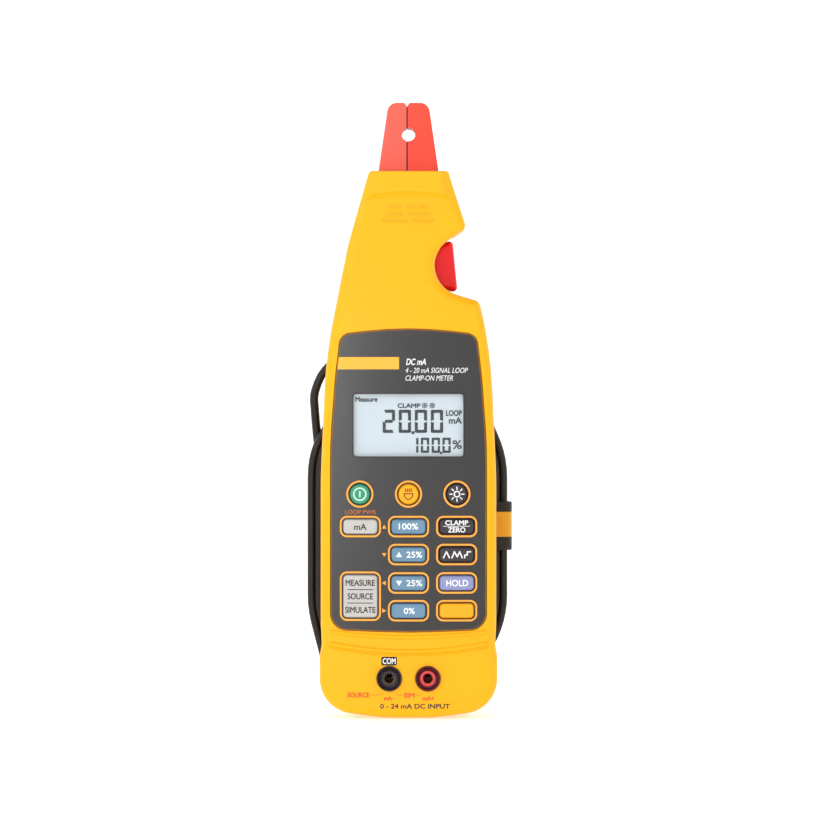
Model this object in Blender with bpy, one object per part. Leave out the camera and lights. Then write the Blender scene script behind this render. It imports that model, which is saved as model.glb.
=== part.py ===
"""Handheld milliamp clamp meter, built as the separate pieces it comes apart into.

Case coordinates, used by every function here, are in millimetres: X to the right of the display,
Y from the front face to the back, Z up along the meter. x = 0 is the centre line, y = 0 the parting
plane of the two shells and z = 0 the bottom of the case. One empty carries all pieces and puts the
middle of the battery door's outer face at the world's origin.
"""

import math

import bmesh
import bpy
from mathutils import Matrix, Vector

MM = 0.001
GAP = 0.3  # clearance between neighbouring pieces
COARSE = 15.0  # degrees of turn per facet on rounded corners

# Case
FRONT_DEPTH = 18.0
REAR_DEPTH = 8.0
WALL = 2.2
EDGE = 3.6
REAR_EDGE = 2.6
CAVITY_FRONT = 15.4
CAVITY_REAR = 5.8
COLLAR_TOP = 220.0
HEAD_STEP = 158.5  # the rear of the head is raised above this level
HEAD_REAR = 14.0
HEAD_BOTTOM = 163.0

# Corners of the case outline as (x, z, corner radius), counter-clockwise seen from the front
BOTTOM_CORNERS = [(-10.0, 0.0, 60.0), (10.0, 0.0, 60.0)]
SIDE_CORNERS = [
    (35.7, 3.2, 14.0),
    (35.8, 24.0, 6.0),
    (34.9, 29.5, 6.0),
    (35.3, 38.0, 20.0),
    (35.3, 97.0, 200.0),
    (33.4, 140.0, 150.0),
    (31.0, 156.5, 60.0),
]
NOTCH_RADIUS = 12.3
NOTCH_CORNERS = [
    (28.6, 167.2, 3.5),
    (-5.0, 177.4, NOTCH_RADIUS),
    (23.3, 197.1, 2.5),
]
COLLAR_CORNER = (15.9, COLLAR_TOP, 2.0)
LEFT_HEAD_CORNER = (-24.4, 190.0, 60.0)

# Depth of the front and the rear of the head, as (level, share of the full depth)
HEAD_FRONT = [(HEAD_BOTTOM, 1.0), (185.0, 0.91), (207.0, 0.785), (209.6, 0.89), (220.0, 0.85)]

# Hub on the back that the lead is wound on: two half circles joined by straight sides
HUB_LOW = 47.4
HUB_HIGH = 96.3
HUB_RADIUS = 33.6
HUB_FLANGE_RADIUS = 35.3
HUB_REAR = 23.5
HUB_CAVITY_REAR = 20.4
HUB_CAVITY_RADIUS = 31.2
FLANGE_FRONT = 18.6

# Bezel, display and keys
BEZEL_FRONT = 18.2
BEZEL_BACK = 16.9
BEZEL_CORNERS = [
    (0.0, 34.2, 300.0),
    (31.5, 35.4, 7.0),
    (31.5, 110.0, 200.0),
    (29.6, 136.0, 150.0),
    (27.5, 154.2, 5.0),
    (0.0, 157.2, 150.0),
]
BEZEL_LEDGE = 3.0
WINDOW = (-22.5, 22.4, 104.6, 130.4)
KEY_FRONT = 19.2
KEY_BACK = 15.6
KEY_FLANGE = 0.8
COLUMNS = {"left": -19.3, "middle": 0.0, "right": 19.3}
ROWS = [76.9, 65.7, 54.3, 43.2]
ROUND_ROW = 89.9
ROUND_KEY_RADIUS = 4.1
KEY_WIDTH = 13.8
KEY_HEIGHT = 5.9
KEY_CORNER = 1.6
MODE_KEY_Z = 49.0
MODE_KEY_HEIGHT = 17.1

# Jacks
JACK_X = 7.75
JACK_Z = 16.0

# Jaws, lever and trigger
PIVOT_X = 5.0
PIVOT_Z = 212.0
PIN_RADIUS = 1.5
PIN_BORE = 1.56
SPLIT_X = -0.6
JAW_GAP = 0.25
JAW_TOP = 248.0
JAW_DEPTH = 6.5
JAW_TIP_SHARE = 0.8
HOLE_Z = 235.2
HOLE_RADIUS = 2.8
CORE_INNER = 4.2
CORE_OUTER = 6.6
CORE_DEPTH = 2.9

# Lead wound on the hub
LEAD_RADIUS = 1.75
COIL_CENTRE_X = -0.45
COIL_INNER = 34.3
COIL_OUTER = 41.5
COIL_FRONT = 9.5
COIL_REAR = 17.1
LEAD_PORTS = {"head": -26.0, "meter": 8.0}
BOOT_LENGTH = 7.0
PORT_Y = 11.3
HEAD_END_ROUTE = [
    (-26.0, PORT_Y, 151.0),
    (-26.2, 11.4, 148.6),
    (-28.5, 11.6, 145.3),
    (-32.3, 12.0, 142.0),
    (-35.9, 12.2, 137.6),
    (-38.2, 12.8, 132.0),
    (-38.8, 13.2, 128.4),
    (-38.6, 13.3, 124.9),
]
METER_END_ROUTE = [
    (8.0, PORT_Y, 151.0),
    (8.3, 11.4, 148.0),
    (10.4, 11.8, 144.4),
    (14.0, 12.4, 141.2),
    (18.8, 13.2, 138.0),
    (24.2, 13.3, 133.9),
]

# Strap round the right side of the winding
STRAP_LOW = 66.3
STRAP_HIGH = 86.0
STRAP_OUTER = 42.4
STRAP_THICKNESS = 0.9

# Batteries
CELL_RADIUS = 7.0
CELL_PITCH = 14.3
CELL_Y = 12.6
CELL_LOW = 46.7
CELL_LENGTH = 50.5
TRAY = (-29.6, 29.6, 4.3, 20.0, 43.9, 99.9)
DOOR = (-30.4, 30.4, 42.0, 111.5)
DOOR_FRONT = 21.8
DOOR_SCREWS = [(-20.0, 105.6), (20.0, 105.6)]
CASE_SCREWS = [
    (-16.0, 27.0, HUB_REAR),
    (16.0, 27.0, HUB_REAR),
    (-18.0, 164.5, HEAD_REAR),
    (18.0, 164.5, HEAD_REAR),
]
MOUNT_Z = 76.8

MATERIALS = {}


def srgb(value):
    """A display colour channel, 0 to 255, as the linear value that a shader takes."""
    share = value / 255.0
    return share / 12.92 if share <= 0.04045 else ((share + 0.055) / 1.055) ** 2.4


def material(name, colour, roughness, metallic=0.0):
    made = bpy.data.materials.new(name)
    made.use_nodes = True
    shader = made.node_tree.nodes["Principled BSDF"]
    shader.inputs["Base Color"].default_value = [srgb(channel) for channel in colour] + [1.0]
    shader.inputs["Roughness"].default_value = roughness
    shader.inputs["Metallic"].default_value = metallic
    MATERIALS[name] = made


def make_materials():
    material("case_yellow", (253, 190, 40), 0.45)
    material("bezel_grey", (74, 75, 77), 0.55)
    material("lens_clear", (214, 226, 232), 0.1)
    material("display_glass", (205, 218, 224), 0.25)
    material("jaw_red", (238, 88, 70), 0.5)
    material("trigger_red", (226, 30, 36), 0.25)
    material("jack_black", (26, 24, 25), 0.4)
    material("jack_red", (150, 26, 34), 0.4)
    material("key_grey", (214, 211, 207), 0.5)
    material("key_blue", (104, 146, 178), 0.5)
    material("key_dark", (58, 54, 57), 0.5)
    material("key_lavender", (150, 155, 200), 0.5)
    material("key_yellow", (250, 196, 60), 0.5)
    material("key_green", (70, 160, 120), 0.5)
    material("rubber_grey", (120, 120, 120), 0.8)
    material("board_green", (30, 90, 50), 0.6)
    material("core_steel", (120, 122, 126), 0.4, 1.0)
    material("steel", (176, 178, 182), 0.35, 1.0)
    material("brass", (196, 160, 88), 0.3, 1.0)
    material("cell_jacket", (52, 60, 66), 0.4)
    material("tray_black", (34, 34, 36), 0.6)
    material("cord_black", (28, 26, 26), 0.5)
    material("strap_black", (24, 24, 25), 0.9)


# Outlines in the XZ plane


def offset_corners(corners, inset):
    """Corners of the outline moved inwards by inset, with their radii kept concentric."""
    moved = []
    for i, (x, z, radius) in enumerate(corners):
        here = Vector((x, z))
        before = (here - Vector(corners[i - 1][:2])).normalized()
        after = (Vector(corners[(i + 1) % len(corners)][:2]) - here).normalized()
        normals = Vector((-before.y, before.x)), Vector((-after.y, after.x))
        place = here + (normals[0] + normals[1]) * inset / (1.0 + normals[0].dot(normals[1]))
        convex = before.x * after.y - before.y * after.x > 0.0
        moved.append((place.x, place.y, max(radius - inset if convex else radius + inset, 0.2)))
    return moved


def rounded(corners, step=COARSE):
    """The outline's points, with an arc in each corner that has a radius."""
    points = []
    for i, (x, z, radius) in enumerate(corners):
        here = Vector((x, z))
        before = (here - Vector(corners[i - 1][:2])).normalized()
        after = (Vector(corners[(i + 1) % len(corners)][:2]) - here).normalized()
        if radius == 0.0:
            points.append(here)
            continue
        side = 1.0 if before.x * after.y - before.y * after.x > 0.0 else -1.0
        turn = before.angle(after)
        start = here - before * radius * math.tan(turn / 2.0)
        centre = start + Vector((-before.y, before.x)) * radius * side
        count = max(1, math.ceil(math.degrees(turn) / step))
        for k in range(count + 1):
            points.append(centre + Matrix.Rotation(side * turn * k / count, 2) @ (start - centre))
    return [point for i, point in enumerate(points) if (point - points[i - 1]).length > 1e-4]


def outline_of(corners, step=COARSE):
    """A function that gives the rounded outline at any inset."""
    return lambda inset=0.0: rounded(offset_corners(corners, inset) if inset else corners, step)


def rectangle(x0, x1, z0, z1, radius=0.0):
    return [(x0, z0, radius), (x1, z0, radius), (x1, z1, radius), (x0, z1, radius)]


def centred_rectangle(x, z, width, height, radius):
    return rectangle(x - width / 2, x + width / 2, z - height / 2, z + height / 2, radius)


def mirrored(corners):
    return [(-x, z, radius) for x, z, radius in reversed(corners)]


def stadium(x, radius):
    """The hub's outline at a radius: the half circles are corners turned by 90 degrees each."""
    low = HUB_LOW - radius
    high = HUB_HIGH + radius
    return rectangle(x - radius, x + radius, low, high, radius)


def circle(x, z, radius, sides):
    return lambda inset=0.0: [
        Vector((x, z)) + Matrix.Rotation(2.0 * math.pi * k / sides, 2) @ Vector((radius - inset, 0.0))
        for k in range(sides)
    ]


def case_corners():
    head = [*NOTCH_CORNERS, COLLAR_CORNER, (-COLLAR_CORNER[0], *COLLAR_CORNER[1:]), LEFT_HEAD_CORNER]
    return [*BOTTOM_CORNERS, *SIDE_CORNERS, *head, *mirrored(SIDE_CORNERS)]


def bezel_corners():
    bottom, *right, top = BEZEL_CORNERS
    return [bottom, *right, top, *mirrored(right)]


# Solids, as bmesh objects in case millimetres


def lofted(rings, closed=False):
    """A solid through rings of equal length: capped at both ends, or closed into a ring itself."""
    solid = bmesh.new()
    layers = [[solid.verts.new(point) for point in ring] for ring in rings]
    pairs = list(zip(layers, layers[1:]))
    if closed:
        pairs.append((layers[-1], layers[0]))
    else:
        solid.faces.new(layers[0])
        solid.faces.new(layers[-1])
    for lower, upper in pairs:
        for i in range(len(lower)):
            j = (i + 1) % len(lower)
            solid.faces.new((lower[i], lower[j], upper[j], upper[i]))
    bmesh.ops.recalc_face_normals(solid, faces=solid.faces)
    if solid.calc_volume(signed=True) < 0.0:
        bmesh.ops.reverse_faces(solid, faces=solid.faces)
    return solid


def prism(outline, front, rear, front_edge=0.0, rear_edge=0.0, facets=3):
    """An outline extruded from y = front to y = rear, with its front or rear edge rounded."""
    turns = [math.radians(90.0 * k / facets) for k in range(facets + 1)]
    levels = [(front, 0.0)]
    if front_edge:
        levels = [(front + front_edge * (1.0 - math.cos(t)), front_edge * (1.0 - math.sin(t))) for t in turns]
    if rear_edge:
        levels += [(rear - rear_edge * (1.0 - math.cos(t)), rear_edge * (1.0 - math.sin(t))) for t in turns[::-1]]
    else:
        levels.append((rear, 0.0))
    return lofted([[Vector((p.x, y, p.y)) for p in outline(inset)] for y, inset in levels])


def box(x0, x1, y0, y1, z0, z1):
    return prism(outline_of(rectangle(x0, x1, z0, z1)), y0, y1)


def cylinder(x, z, radius, front, rear, sides=16):
    return prism(circle(x, z, radius, sides), front, rear)


def upright_cylinder(x, y, radius, low, high, sides=16):
    turned = [Matrix.Rotation(2.0 * math.pi * k / sides, 2) @ Vector((radius, 0.0)) for k in range(sides)]
    return lofted([[Vector((x + p.x, y + p.y, z)) for p in turned] for z in (low, high)])


def lathe(x, z, profile, sides=16, closed=False):
    """A profile of (radius, y) turned about the line through (x, z) along Y."""
    rings = []
    for radius, y in profile:
        turned = circle(x, z, radius, sides)()
        rings.append([Vector((p.x, y, p.y)) for p in turned])
    return lofted(rings, closed)


def follow_depth(solid, profile):
    """Scales the solid's depth by the share that the profile gives at each level."""
    for level, _ in profile:
        everything = [*solid.verts, *solid.edges, *solid.faces]
        spot, up = Vector((0.0, 0.0, level)), Vector((0.0, 0.0, 1.0))
        bmesh.ops.bisect_plane(solid, geom=everything, dist=1e-5, plane_co=spot, plane_no=up)
    for vertex in solid.verts:
        vertex.co.y *= share_at(profile, vertex.co.z)
    return solid


def share_at(profile, level):
    if level <= profile[0][0]:
        return profile[0][1]
    for (low, first), (high, second) in zip(profile, profile[1:]):
        if level <= high:
            return first + (second - first) * (level - low) / (high - low)
    return profile[-1][1]


def above(solid, level):
    """The part of the solid above a level, closed again with a flat face."""
    everything = [*solid.verts, *solid.edges, *solid.faces]
    cut_edges = bmesh.ops.bisect_plane(
        solid, geom=everything, dist=1e-5, plane_co=(0, 0, level), plane_no=(0, 0, 1), clear_inner=True
    )["geom_cut"]
    edges = [item for item in cut_edges if isinstance(item, bmesh.types.BMEdge)]
    bmesh.ops.contextual_create(solid, geom=edges)
    bmesh.ops.recalc_face_normals(solid, faces=solid.faces)
    return solid


# Objects


def place(name, solid, finish, origin=(0.0, 0.0, 0.0)):
    """Makes the named object from a solid, with its own origin, hung from the meter's empty."""
    mesh = bpy.data.meshes.new(name)
    solid.transform(Matrix.Scale(MM, 4) @ Matrix.Translation(-Vector(origin)))
    solid.to_mesh(mesh)
    solid.free()
    piece = bpy.data.objects.new(name, mesh)
    bpy.context.scene.collection.objects.link(piece)
    piece.location = Vector(origin) * MM
    piece.parent = bpy.data.objects["meter"]
    if finish:
        mesh.materials.append(MATERIALS[finish])
    mesh.shade_smooth()
    mesh.set_sharp_from_angle(angle=math.radians(35.0))
    return piece


def combine(piece, solid, operation):
    """Adds a Boolean modifier whose other solid is a hidden helper in the same coordinates."""
    step = len(piece.modifiers) + 1
    helper = place(f"{piece.name}_{operation.lower()}_{step}", solid, None)
    helper.hide_render = True
    helper.display_type = "WIRE"
    modifier = piece.modifiers.new(helper.name, "BOOLEAN")
    modifier.operation = operation
    modifier.solver = "EXACT"
    modifier.object = helper


def add(piece, solid):
    combine(piece, solid, "UNION")


def cut(piece, solid):
    combine(piece, solid, "DIFFERENCE")


def make_front_shell():
    outer = prism(outline_of(case_corners()), -FRONT_DEPTH, -GAP / 2, front_edge=EDGE)
    shell = place("front_shell", follow_depth(outer, HEAD_FRONT), "case_yellow")
    hollow = outline_of(offset_corners(case_corners(), WALL))
    cut(shell, follow_depth(prism(hollow, -CAVITY_FRONT, 2.0, front_edge=1.5, facets=1), HEAD_FRONT))
    for x, z, _ in CASE_SCREWS:
        add(shell, cylinder(x, z, 3.2, -CAVITY_FRONT - 1.0, -GAP / 2, 12))
    for x in (-PIVOT_X, PIVOT_X):
        add(shell, cylinder(x, PIVOT_Z, 3.0, -14.6, -7.3, 12))
    for x, z, _ in CASE_SCREWS:
        cut(shell, cylinder(x, z, 1.7, -10.5, 2.0, 8))
    for x in (-PIVOT_X, PIVOT_X):
        cut(shell, cylinder(x, PIVOT_Z, PIN_RADIUS + GAP, -11.8, -5.0, 12))
    bezel = outline_of(bezel_corners())
    cut(shell, prism(bezel, -FRONT_DEPTH - 3.0, -BEZEL_BACK + GAP))
    opening = outline_of(offset_corners(bezel_corners(), BEZEL_LEDGE))
    cut(shell, prism(opening, -FRONT_DEPTH - 2.0, -CAVITY_FRONT + 2.0))
    for x in (-JACK_X, JACK_X):
        cut(shell, cylinder(x, JACK_Z, 4.8, -FRONT_DEPTH - 2.0, -CAVITY_FRONT + 2.0))
    cut(shell, upright_cylinder(0.0, -11.2, 2.0, 213.0, 223.0, 12))
    open_head(shell)


def open_head(shell):
    """The way out for the jaws at the top of the collar, and the window behind the trigger."""
    cut(shell, box(-13.7, 13.7, -7.0, 7.0, 214.0, 224.0))
    cut(shell, box(4.0, 20.4, -7.0, 7.0, 169.0, 193.8))


def make_rear_shell():
    case = outline_of(case_corners())
    shell = place("rear_shell", prism(case, GAP / 2, REAR_DEPTH, rear_edge=REAR_EDGE), "case_yellow")
    raised = outline_of(offset_corners(case_corners(), 1.9))
    add(shell, above(prism(raised, REAR_DEPTH - 3.0, HEAD_REAR, rear_edge=3.0), HEAD_STEP))
    add(shell, prism(outline_of(stadium(0.0, HUB_RADIUS)), REAR_DEPTH - 2.0, FLANGE_FRONT + 1.0))
    flange = outline_of(stadium(0.0, HUB_FLANGE_RADIUS))
    add(shell, prism(flange, FLANGE_FRONT, HUB_REAR, rear_edge=2.0))
    cut(shell, prism(outline_of(offset_corners(case_corners(), WALL)), -2.0, CAVITY_REAR))
    cut(shell, prism(outline_of(stadium(0.0, HUB_CAVITY_RADIUS)), -2.5, HUB_CAVITY_REAR))
    inside_head = outline_of(offset_corners(case_corners(), 4.6))
    cut(shell, above(prism(inside_head, -3.0, HEAD_REAR - 2.0), HEAD_STEP + 2.5))
    for x, z, rear in CASE_SCREWS:
        add(shell, cylinder(x, z, 3.2, GAP / 2, rear - 1.0, 12))
    for x, z in DOOR_SCREWS:
        add(shell, cylinder(x, z, 2.8, 10.0, DOOR_FRONT - 0.8, 12))
    for x in (-PIVOT_X, PIVOT_X):
        add(shell, cylinder(x, PIVOT_Z, 3.0, 7.3, HEAD_REAR - 1.0, 12))
    add(shell, box(-9.6, -8.3, -3.0, HEAD_REAR - 1.0, 177.0, 185.0))
    for x, z, rear in CASE_SCREWS:
        cut(shell, cylinder(x, z, 1.7, -3.0, rear + 2.0, 8))
        cut(shell, cylinder(x, z, 3.0, rear - 2.4, rear + 3.0, 12))
    for x, z in DOOR_SCREWS:
        cut(shell, cylinder(x, z, 1.5, 12.0, HUB_REAR + 2.0, 8))
    for x in (-PIVOT_X, PIVOT_X):
        cut(shell, cylinder(x, PIVOT_Z, PIN_RADIUS + GAP, 5.0, 11.3, 12))
    door = outline_of(rectangle(DOOR[0] - GAP, DOOR[1] + GAP, DOOR[2] - GAP, DOOR[3] + GAP, 6.3))
    cut(shell, prism(door, DOOR_FRONT - GAP, HUB_REAR + 2.0))
    cut(shell, box(-28.6, 28.6, HUB_CAVITY_REAR - 3.0, HUB_REAR + 3.0, TRAY[4] + 0.7, TRAY[5] - 0.7))
    for x in LEAD_PORTS.values():
        cut(shell, upright_cylinder(x, PORT_Y, 1.4, HEAD_STEP - 2.0, HEAD_STEP + 5.0, 12))
    open_strap_way(shell)
    open_head(shell)


def open_strap_way(shell):
    """Slots in the hub's wall for the strap's two legs, and the flange cut back between them."""
    low = STRAP_LOW - 1.2
    high = STRAP_HIGH + 1.2
    cut(shell, box(HUB_RADIUS + 0.2, HUB_RADIUS + 6.0, REAR_DEPTH + 0.5, HUB_REAR + 4.0, low, high))
    for front in (COIL_FRONT - GAP - STRAP_THICKNESS, COIL_REAR + GAP):
        cut(shell, box(30.0, 36.0, front - GAP, front + STRAP_THICKNESS + GAP, low + 0.9, high - 0.9))


def make_battery_door():
    door = place("battery_door", prism(outline_of(rectangle(*DOOR, 6.0)), DOOR_FRONT, HUB_REAR), "case_yellow")
    for x, z in DOOR_SCREWS:
        cut(door, cylinder(x, z, 1.8, DOOR_FRONT - 1.0, HUB_REAR + 1.0, 12))
        cut(door, cylinder(x, z, 2.9, HUB_REAR - 0.9, HUB_REAR + 2.0, 16))


def screw(name, x, z, head_radius, head_front, head_rear, shank_radius, tip, finish="steel"):
    profile = [(0.4, tip), (shank_radius, tip + 1.0), (shank_radius, head_front)]
    profile += [(head_radius, head_front), (head_radius, head_rear - 0.3), (head_radius - 0.3, head_rear)]
    piece = place(name, lathe(x, z, profile, 12), finish)
    for width, height in ((3.0, 0.6), (0.6, 3.0)):
        slot = box(x - width / 2, x + width / 2, head_rear - 0.7, head_rear + 1.0, z - height / 2, z + height / 2)
        cut(piece, slot)


def make_screws():
    for number, (x, z, rear) in enumerate(CASE_SCREWS, 1):
        screw(f"case_screw_{number}", x, z, 2.6, rear - 2.1, rear - 0.6, 1.3, -9.0)
    for number, (x, z) in enumerate(DOOR_SCREWS, 1):
        screw(f"door_screw_{number}", x, z, 2.5, HUB_REAR - 0.6, HUB_REAR - 0.05, 1.1, 13.0)


def key_table():
    """Name, centre, width, height, corner radius and finish of every key."""
    left, middle, right = COLUMNS["left"], COLUMNS["middle"], COLUMNS["right"]
    size = (KEY_WIDTH, KEY_HEIGHT, KEY_CORNER)
    across = 2.0 * ROUND_KEY_RADIUS
    disc = (across, across, ROUND_KEY_RADIUS)
    return [
        ("key_power", -19.5, ROUND_ROW, *disc, "key_green"),
        ("key_spotlight", 0.0, ROUND_ROW, *disc, "key_yellow"),
        ("key_backlight", 19.4, ROUND_ROW, *disc, "key_dark"),
        ("key_ma", left, ROWS[0], *size, "key_grey"),
        ("key_percent_100", middle, ROWS[0], *size, "key_blue"),
        ("key_clamp_zero", right, ROWS[0], *size, "key_dark"),
        ("key_up_25", middle, ROWS[1], *size, "key_blue"),
        ("key_step", right, ROWS[1], *size, "key_dark"),
        ("key_down_25", middle, ROWS[2], *size, "key_blue"),
        ("key_hold", right, ROWS[2], *size, "key_lavender"),
        ("key_percent_0", middle, ROWS[3], *size, "key_blue"),
        ("key_shift", right, ROWS[3], *size, "key_yellow"),
        ("key_mode", left, MODE_KEY_Z, KEY_WIDTH, MODE_KEY_HEIGHT, KEY_CORNER, "key_grey"),
    ]


def make_keys():
    for name, x, z, width, height, radius, finish in key_table():
        step = 30.0 if width != height else 22.5
        outline = outline_of(centred_rectangle(x, z, width, height, radius), step)
        levels = [(-KEY_FRONT, 0.5), (-KEY_FRONT + 0.4, 0.0), (-BEZEL_BACK + GAP, 0.0)]
        levels += [(-BEZEL_BACK + GAP, -KEY_FLANGE), (-KEY_BACK, -KEY_FLANGE)]
        solid = lofted([[Vector((p.x, y, p.y)) for p in outline(inset)] for y, inset in levels])
        place(name, solid, finish, (x, -KEY_FRONT, z))


def make_bezel():
    plate = outline_of(offset_corners(bezel_corners(), GAP))
    bezel = place("bezel", prism(plate, -BEZEL_FRONT, -BEZEL_BACK), "bezel_grey")
    cut(bezel, prism(outline_of(rectangle(*WINDOW, 1.5), 30.0), -BEZEL_FRONT - 2.0, -BEZEL_BACK + 2.0))
    for _, x, z, width, height, radius, _ in key_table():
        step = 30.0 if width != height else 22.5
        hole = offset_corners(centred_rectangle(x, z, width, height, radius), -GAP)
        cut(bezel, prism(outline_of(hole, step), -BEZEL_FRONT - 2.0, -BEZEL_BACK + 2.0))


def make_display():
    x0, x1, z0, z1 = WINDOW
    lens = outline_of(offset_corners(rectangle(x0, x1, z0, z1, 1.5), GAP), 30.0)
    place("display_lens", prism(lens, -BEZEL_FRONT + 0.3, -BEZEL_BACK + 0.4), "lens_clear")
    place("display_panel", box(x0 - 2.5, x1 + 2.5, -16.2, -14.2, z0 - 2.5, z1 + 2.5), "display_glass")
    place("display_backlight", box(x0 - 2.0, x1 + 2.0, -13.9, -13.3, z0 - 2.0, z1 + 2.0), "key_grey")
    place("key_mat", box(-27.5, 27.5, -14.5, -13.3, 38.5, 97.5), "rubber_grey")
    place("main_board", box(-30.0, 30.0, -13.0, -11.4, 37.0, 137.0), "board_green")


def make_jacks():
    barrel = [(5.1, -19.0), (5.1, -18.3), (4.5, -18.3), (4.5, -2.0), (1.0, -2.0), (1.0, -3.0), (2.8, -3.0)]
    socket = [(2.8, -17.9), (3.3, -18.3), (3.3, -5.0), (3.9, -5.0), (3.9, -18.6), (4.4, -19.0)]
    tube = [(2.5, -17.0), (2.5, -3.4), (2.0, -3.4), (2.0, -17.0)]
    for name, x, finish in (("com", -JACK_X, "jack_black"), ("plus", JACK_X, "jack_red")):
        place(f"jack_{name}", lathe(x, JACK_Z, barrel + socket, closed=True), finish)
        place(f"contact_{name}", lathe(x, JACK_Z, tube, closed=True), "brass")


def make_batteries():
    x0, x1, y0, y1, z0, z1 = TRAY
    tray = place("battery_tray", box(*TRAY), "tray_black")
    cut(tray, box(x0 + 0.8, x1 - 0.8, y0 + 0.9, y1 + 2.0, z0 + 0.8, z1 - 0.8))
    cells = [CELL_PITCH * (number - 1.5) for number in range(4)]
    for number, x in enumerate(cells, 1):
        body = upright_cylinder(x, CELL_Y, CELL_RADIUS, CELL_LOW, CELL_LOW + CELL_LENGTH - 1.2)
        cell = place(f"battery_{number}", body, "cell_jacket")
        top = CELL_LOW + CELL_LENGTH
        add(cell, upright_cylinder(x, CELL_Y, 2.8, top - 2.0, top, 12))
    for name, level in (("lower", z0 + 1.2), ("upper", z1 - 1.6)):
        plate = place(f"battery_contact_{name}", box(-28.0, 28.0, 7.0, 18.0, level, level + 0.4), "steel")
        inward = 1.0 if name == "lower" else -1.0
        for x in cells:
            end = level + 0.2 + inward * 0.7
            add(plate, upright_cylinder(x, CELL_Y, 2.6, min(end, level + 0.1), max(end, level + 0.3), 8))


def right_jaw_corners():
    face = SPLIT_X + JAW_GAP
    mating = [(face, 246.9, 0.0), (face, 215.5, 0.0), (0.8, 214.0, 0.0)]
    tooth = [(0.8, 212.9, 0.0), (-1.3, 212.7, 0.0), (-1.3, 211.3, 0.0), (0.8, 211.1, 0.0)]
    lever = [(0.8, 208.0, 2.5), (3.6, 203.0, 0.0), (4.5, 192.0, 0.0), (4.5, 172.6, 1.0), (8.5, 172.6, 1.0)]
    outer = [(8.5, 192.0, 0.0), (9.6, 205.0, 0.0), (11.4, 214.0, 4.0), (12.2, 220.0, 0.0)]
    tip = [(8.1, JAW_TOP, 3.9), (face + 0.9, JAW_TOP, 0.0)]
    return mating + tooth + lever + outer + tip


def left_jaw_corners():
    face = SPLIT_X - JAW_GAP
    tip = [(face - 0.9, JAW_TOP, 0.0), (-8.1, JAW_TOP, 3.9)]
    outer = [(-12.2, 220.0, 0.0), (-11.4, 214.0, 4.0), (-9.0, 206.8, 2.5), (-0.8, 206.8, 2.5)]
    notch = [(-0.8, 210.7, 0.0), (-1.9, 210.7, 0.0), (-1.9, 213.3, 0.0), (-0.8, 213.3, 0.0)]
    mating = [(-0.8, 214.0, 0.0), (face, 215.5, 0.0), (face, 246.9, 0.0)]
    return tip + outer + notch + mating


def slim_towards_tip(solid):
    return follow_depth(solid, [(222.0, 1.0), (JAW_TOP, JAW_TIP_SHARE)])


def ring_groove():
    """The pocket for the two half cores, right round the conductor hole."""
    loops = [(CORE_OUTER + GAP, -CORE_DEPTH - GAP), (CORE_OUTER + GAP, CORE_DEPTH + GAP)]
    loops += [(CORE_INNER - GAP, CORE_DEPTH + GAP), (CORE_INNER - GAP, -CORE_DEPTH - GAP)]
    return lathe(0.0, HOLE_Z, loops, 24, closed=True)


def half_core(start, end):
    """Half of the flux core: a flat arc between two angles round the conductor hole."""
    count = 10
    angles = [math.radians(start + (end - start) * k / count) for k in range(count + 1)]
    outer = [Vector((math.cos(a), math.sin(a))) * CORE_OUTER for a in angles]
    inner = [Vector((math.cos(a), math.sin(a))) * CORE_INNER for a in reversed(angles)]
    points = [(p.x, p.y + HOLE_Z, 0.0) for p in outer + inner]
    return prism(outline_of(points), -CORE_DEPTH, CORE_DEPTH)


def make_jaws():
    pivots = {"left": -PIVOT_X, "right": PIVOT_X}
    corners = {"left": left_jaw_corners(), "right": right_jaw_corners()}
    spans = {"left": (104.0, 256.0), "right": (-90.0, 90.0)}
    for side, x in pivots.items():
        origin = (x, 0.0, PIVOT_Z)
        solid = slim_towards_tip(prism(outline_of(corners[side]), -JAW_DEPTH, JAW_DEPTH))
        jaw = place(f"jaw_{side}", solid, "jaw_red", origin)
        cut(jaw, cylinder(0.0, HOLE_Z, HOLE_RADIUS, -10.0, 10.0, 20))
        cut(jaw, ring_groove())
        cut(jaw, cylinder(x, PIVOT_Z, PIN_BORE, -10.0, 10.0, 20))
        place(f"core_{side}", half_core(*spans[side]), "core_steel", origin)
        place(f"pivot_pin_{side}", cylinder(x, PIVOT_Z, PIN_RADIUS, -11.5, 10.0, 20), "steel")


def make_trigger():
    corners = [(8.8, 172.4, 1.0), (19.9, 171.6, 1.6), (17.9, 192.4, 1.6), (8.8, 189.6, 1.0)]
    solid = prism(outline_of(corners, 30.0), -JAW_DEPTH, JAW_DEPTH, front_edge=1.2, rear_edge=1.2, facets=2)
    place("trigger", solid, "trigger_red", (PIVOT_X, 0.0, PIVOT_Z))


def curve_tube(name, points, radius, sides_level, finish):
    """A round tube along points, as a curve with filled ends."""
    curve = bpy.data.curves.new(name, "CURVE")
    curve.dimensions = "3D"
    curve.bevel_depth = radius * MM
    curve.bevel_resolution = sides_level
    curve.use_fill_caps = True
    spline = curve.splines.new("POLY")
    spline.points.add(len(points) - 1)
    for point, place_at in zip(spline.points, points):
        point.co = (*(Vector(place_at) * MM), 1.0)
    curve.materials.append(MATERIALS[finish])
    piece = bpy.data.objects.new(name, curve)
    bpy.context.scene.collection.objects.link(piece)
    piece.parent = bpy.data.objects["meter"]


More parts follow.
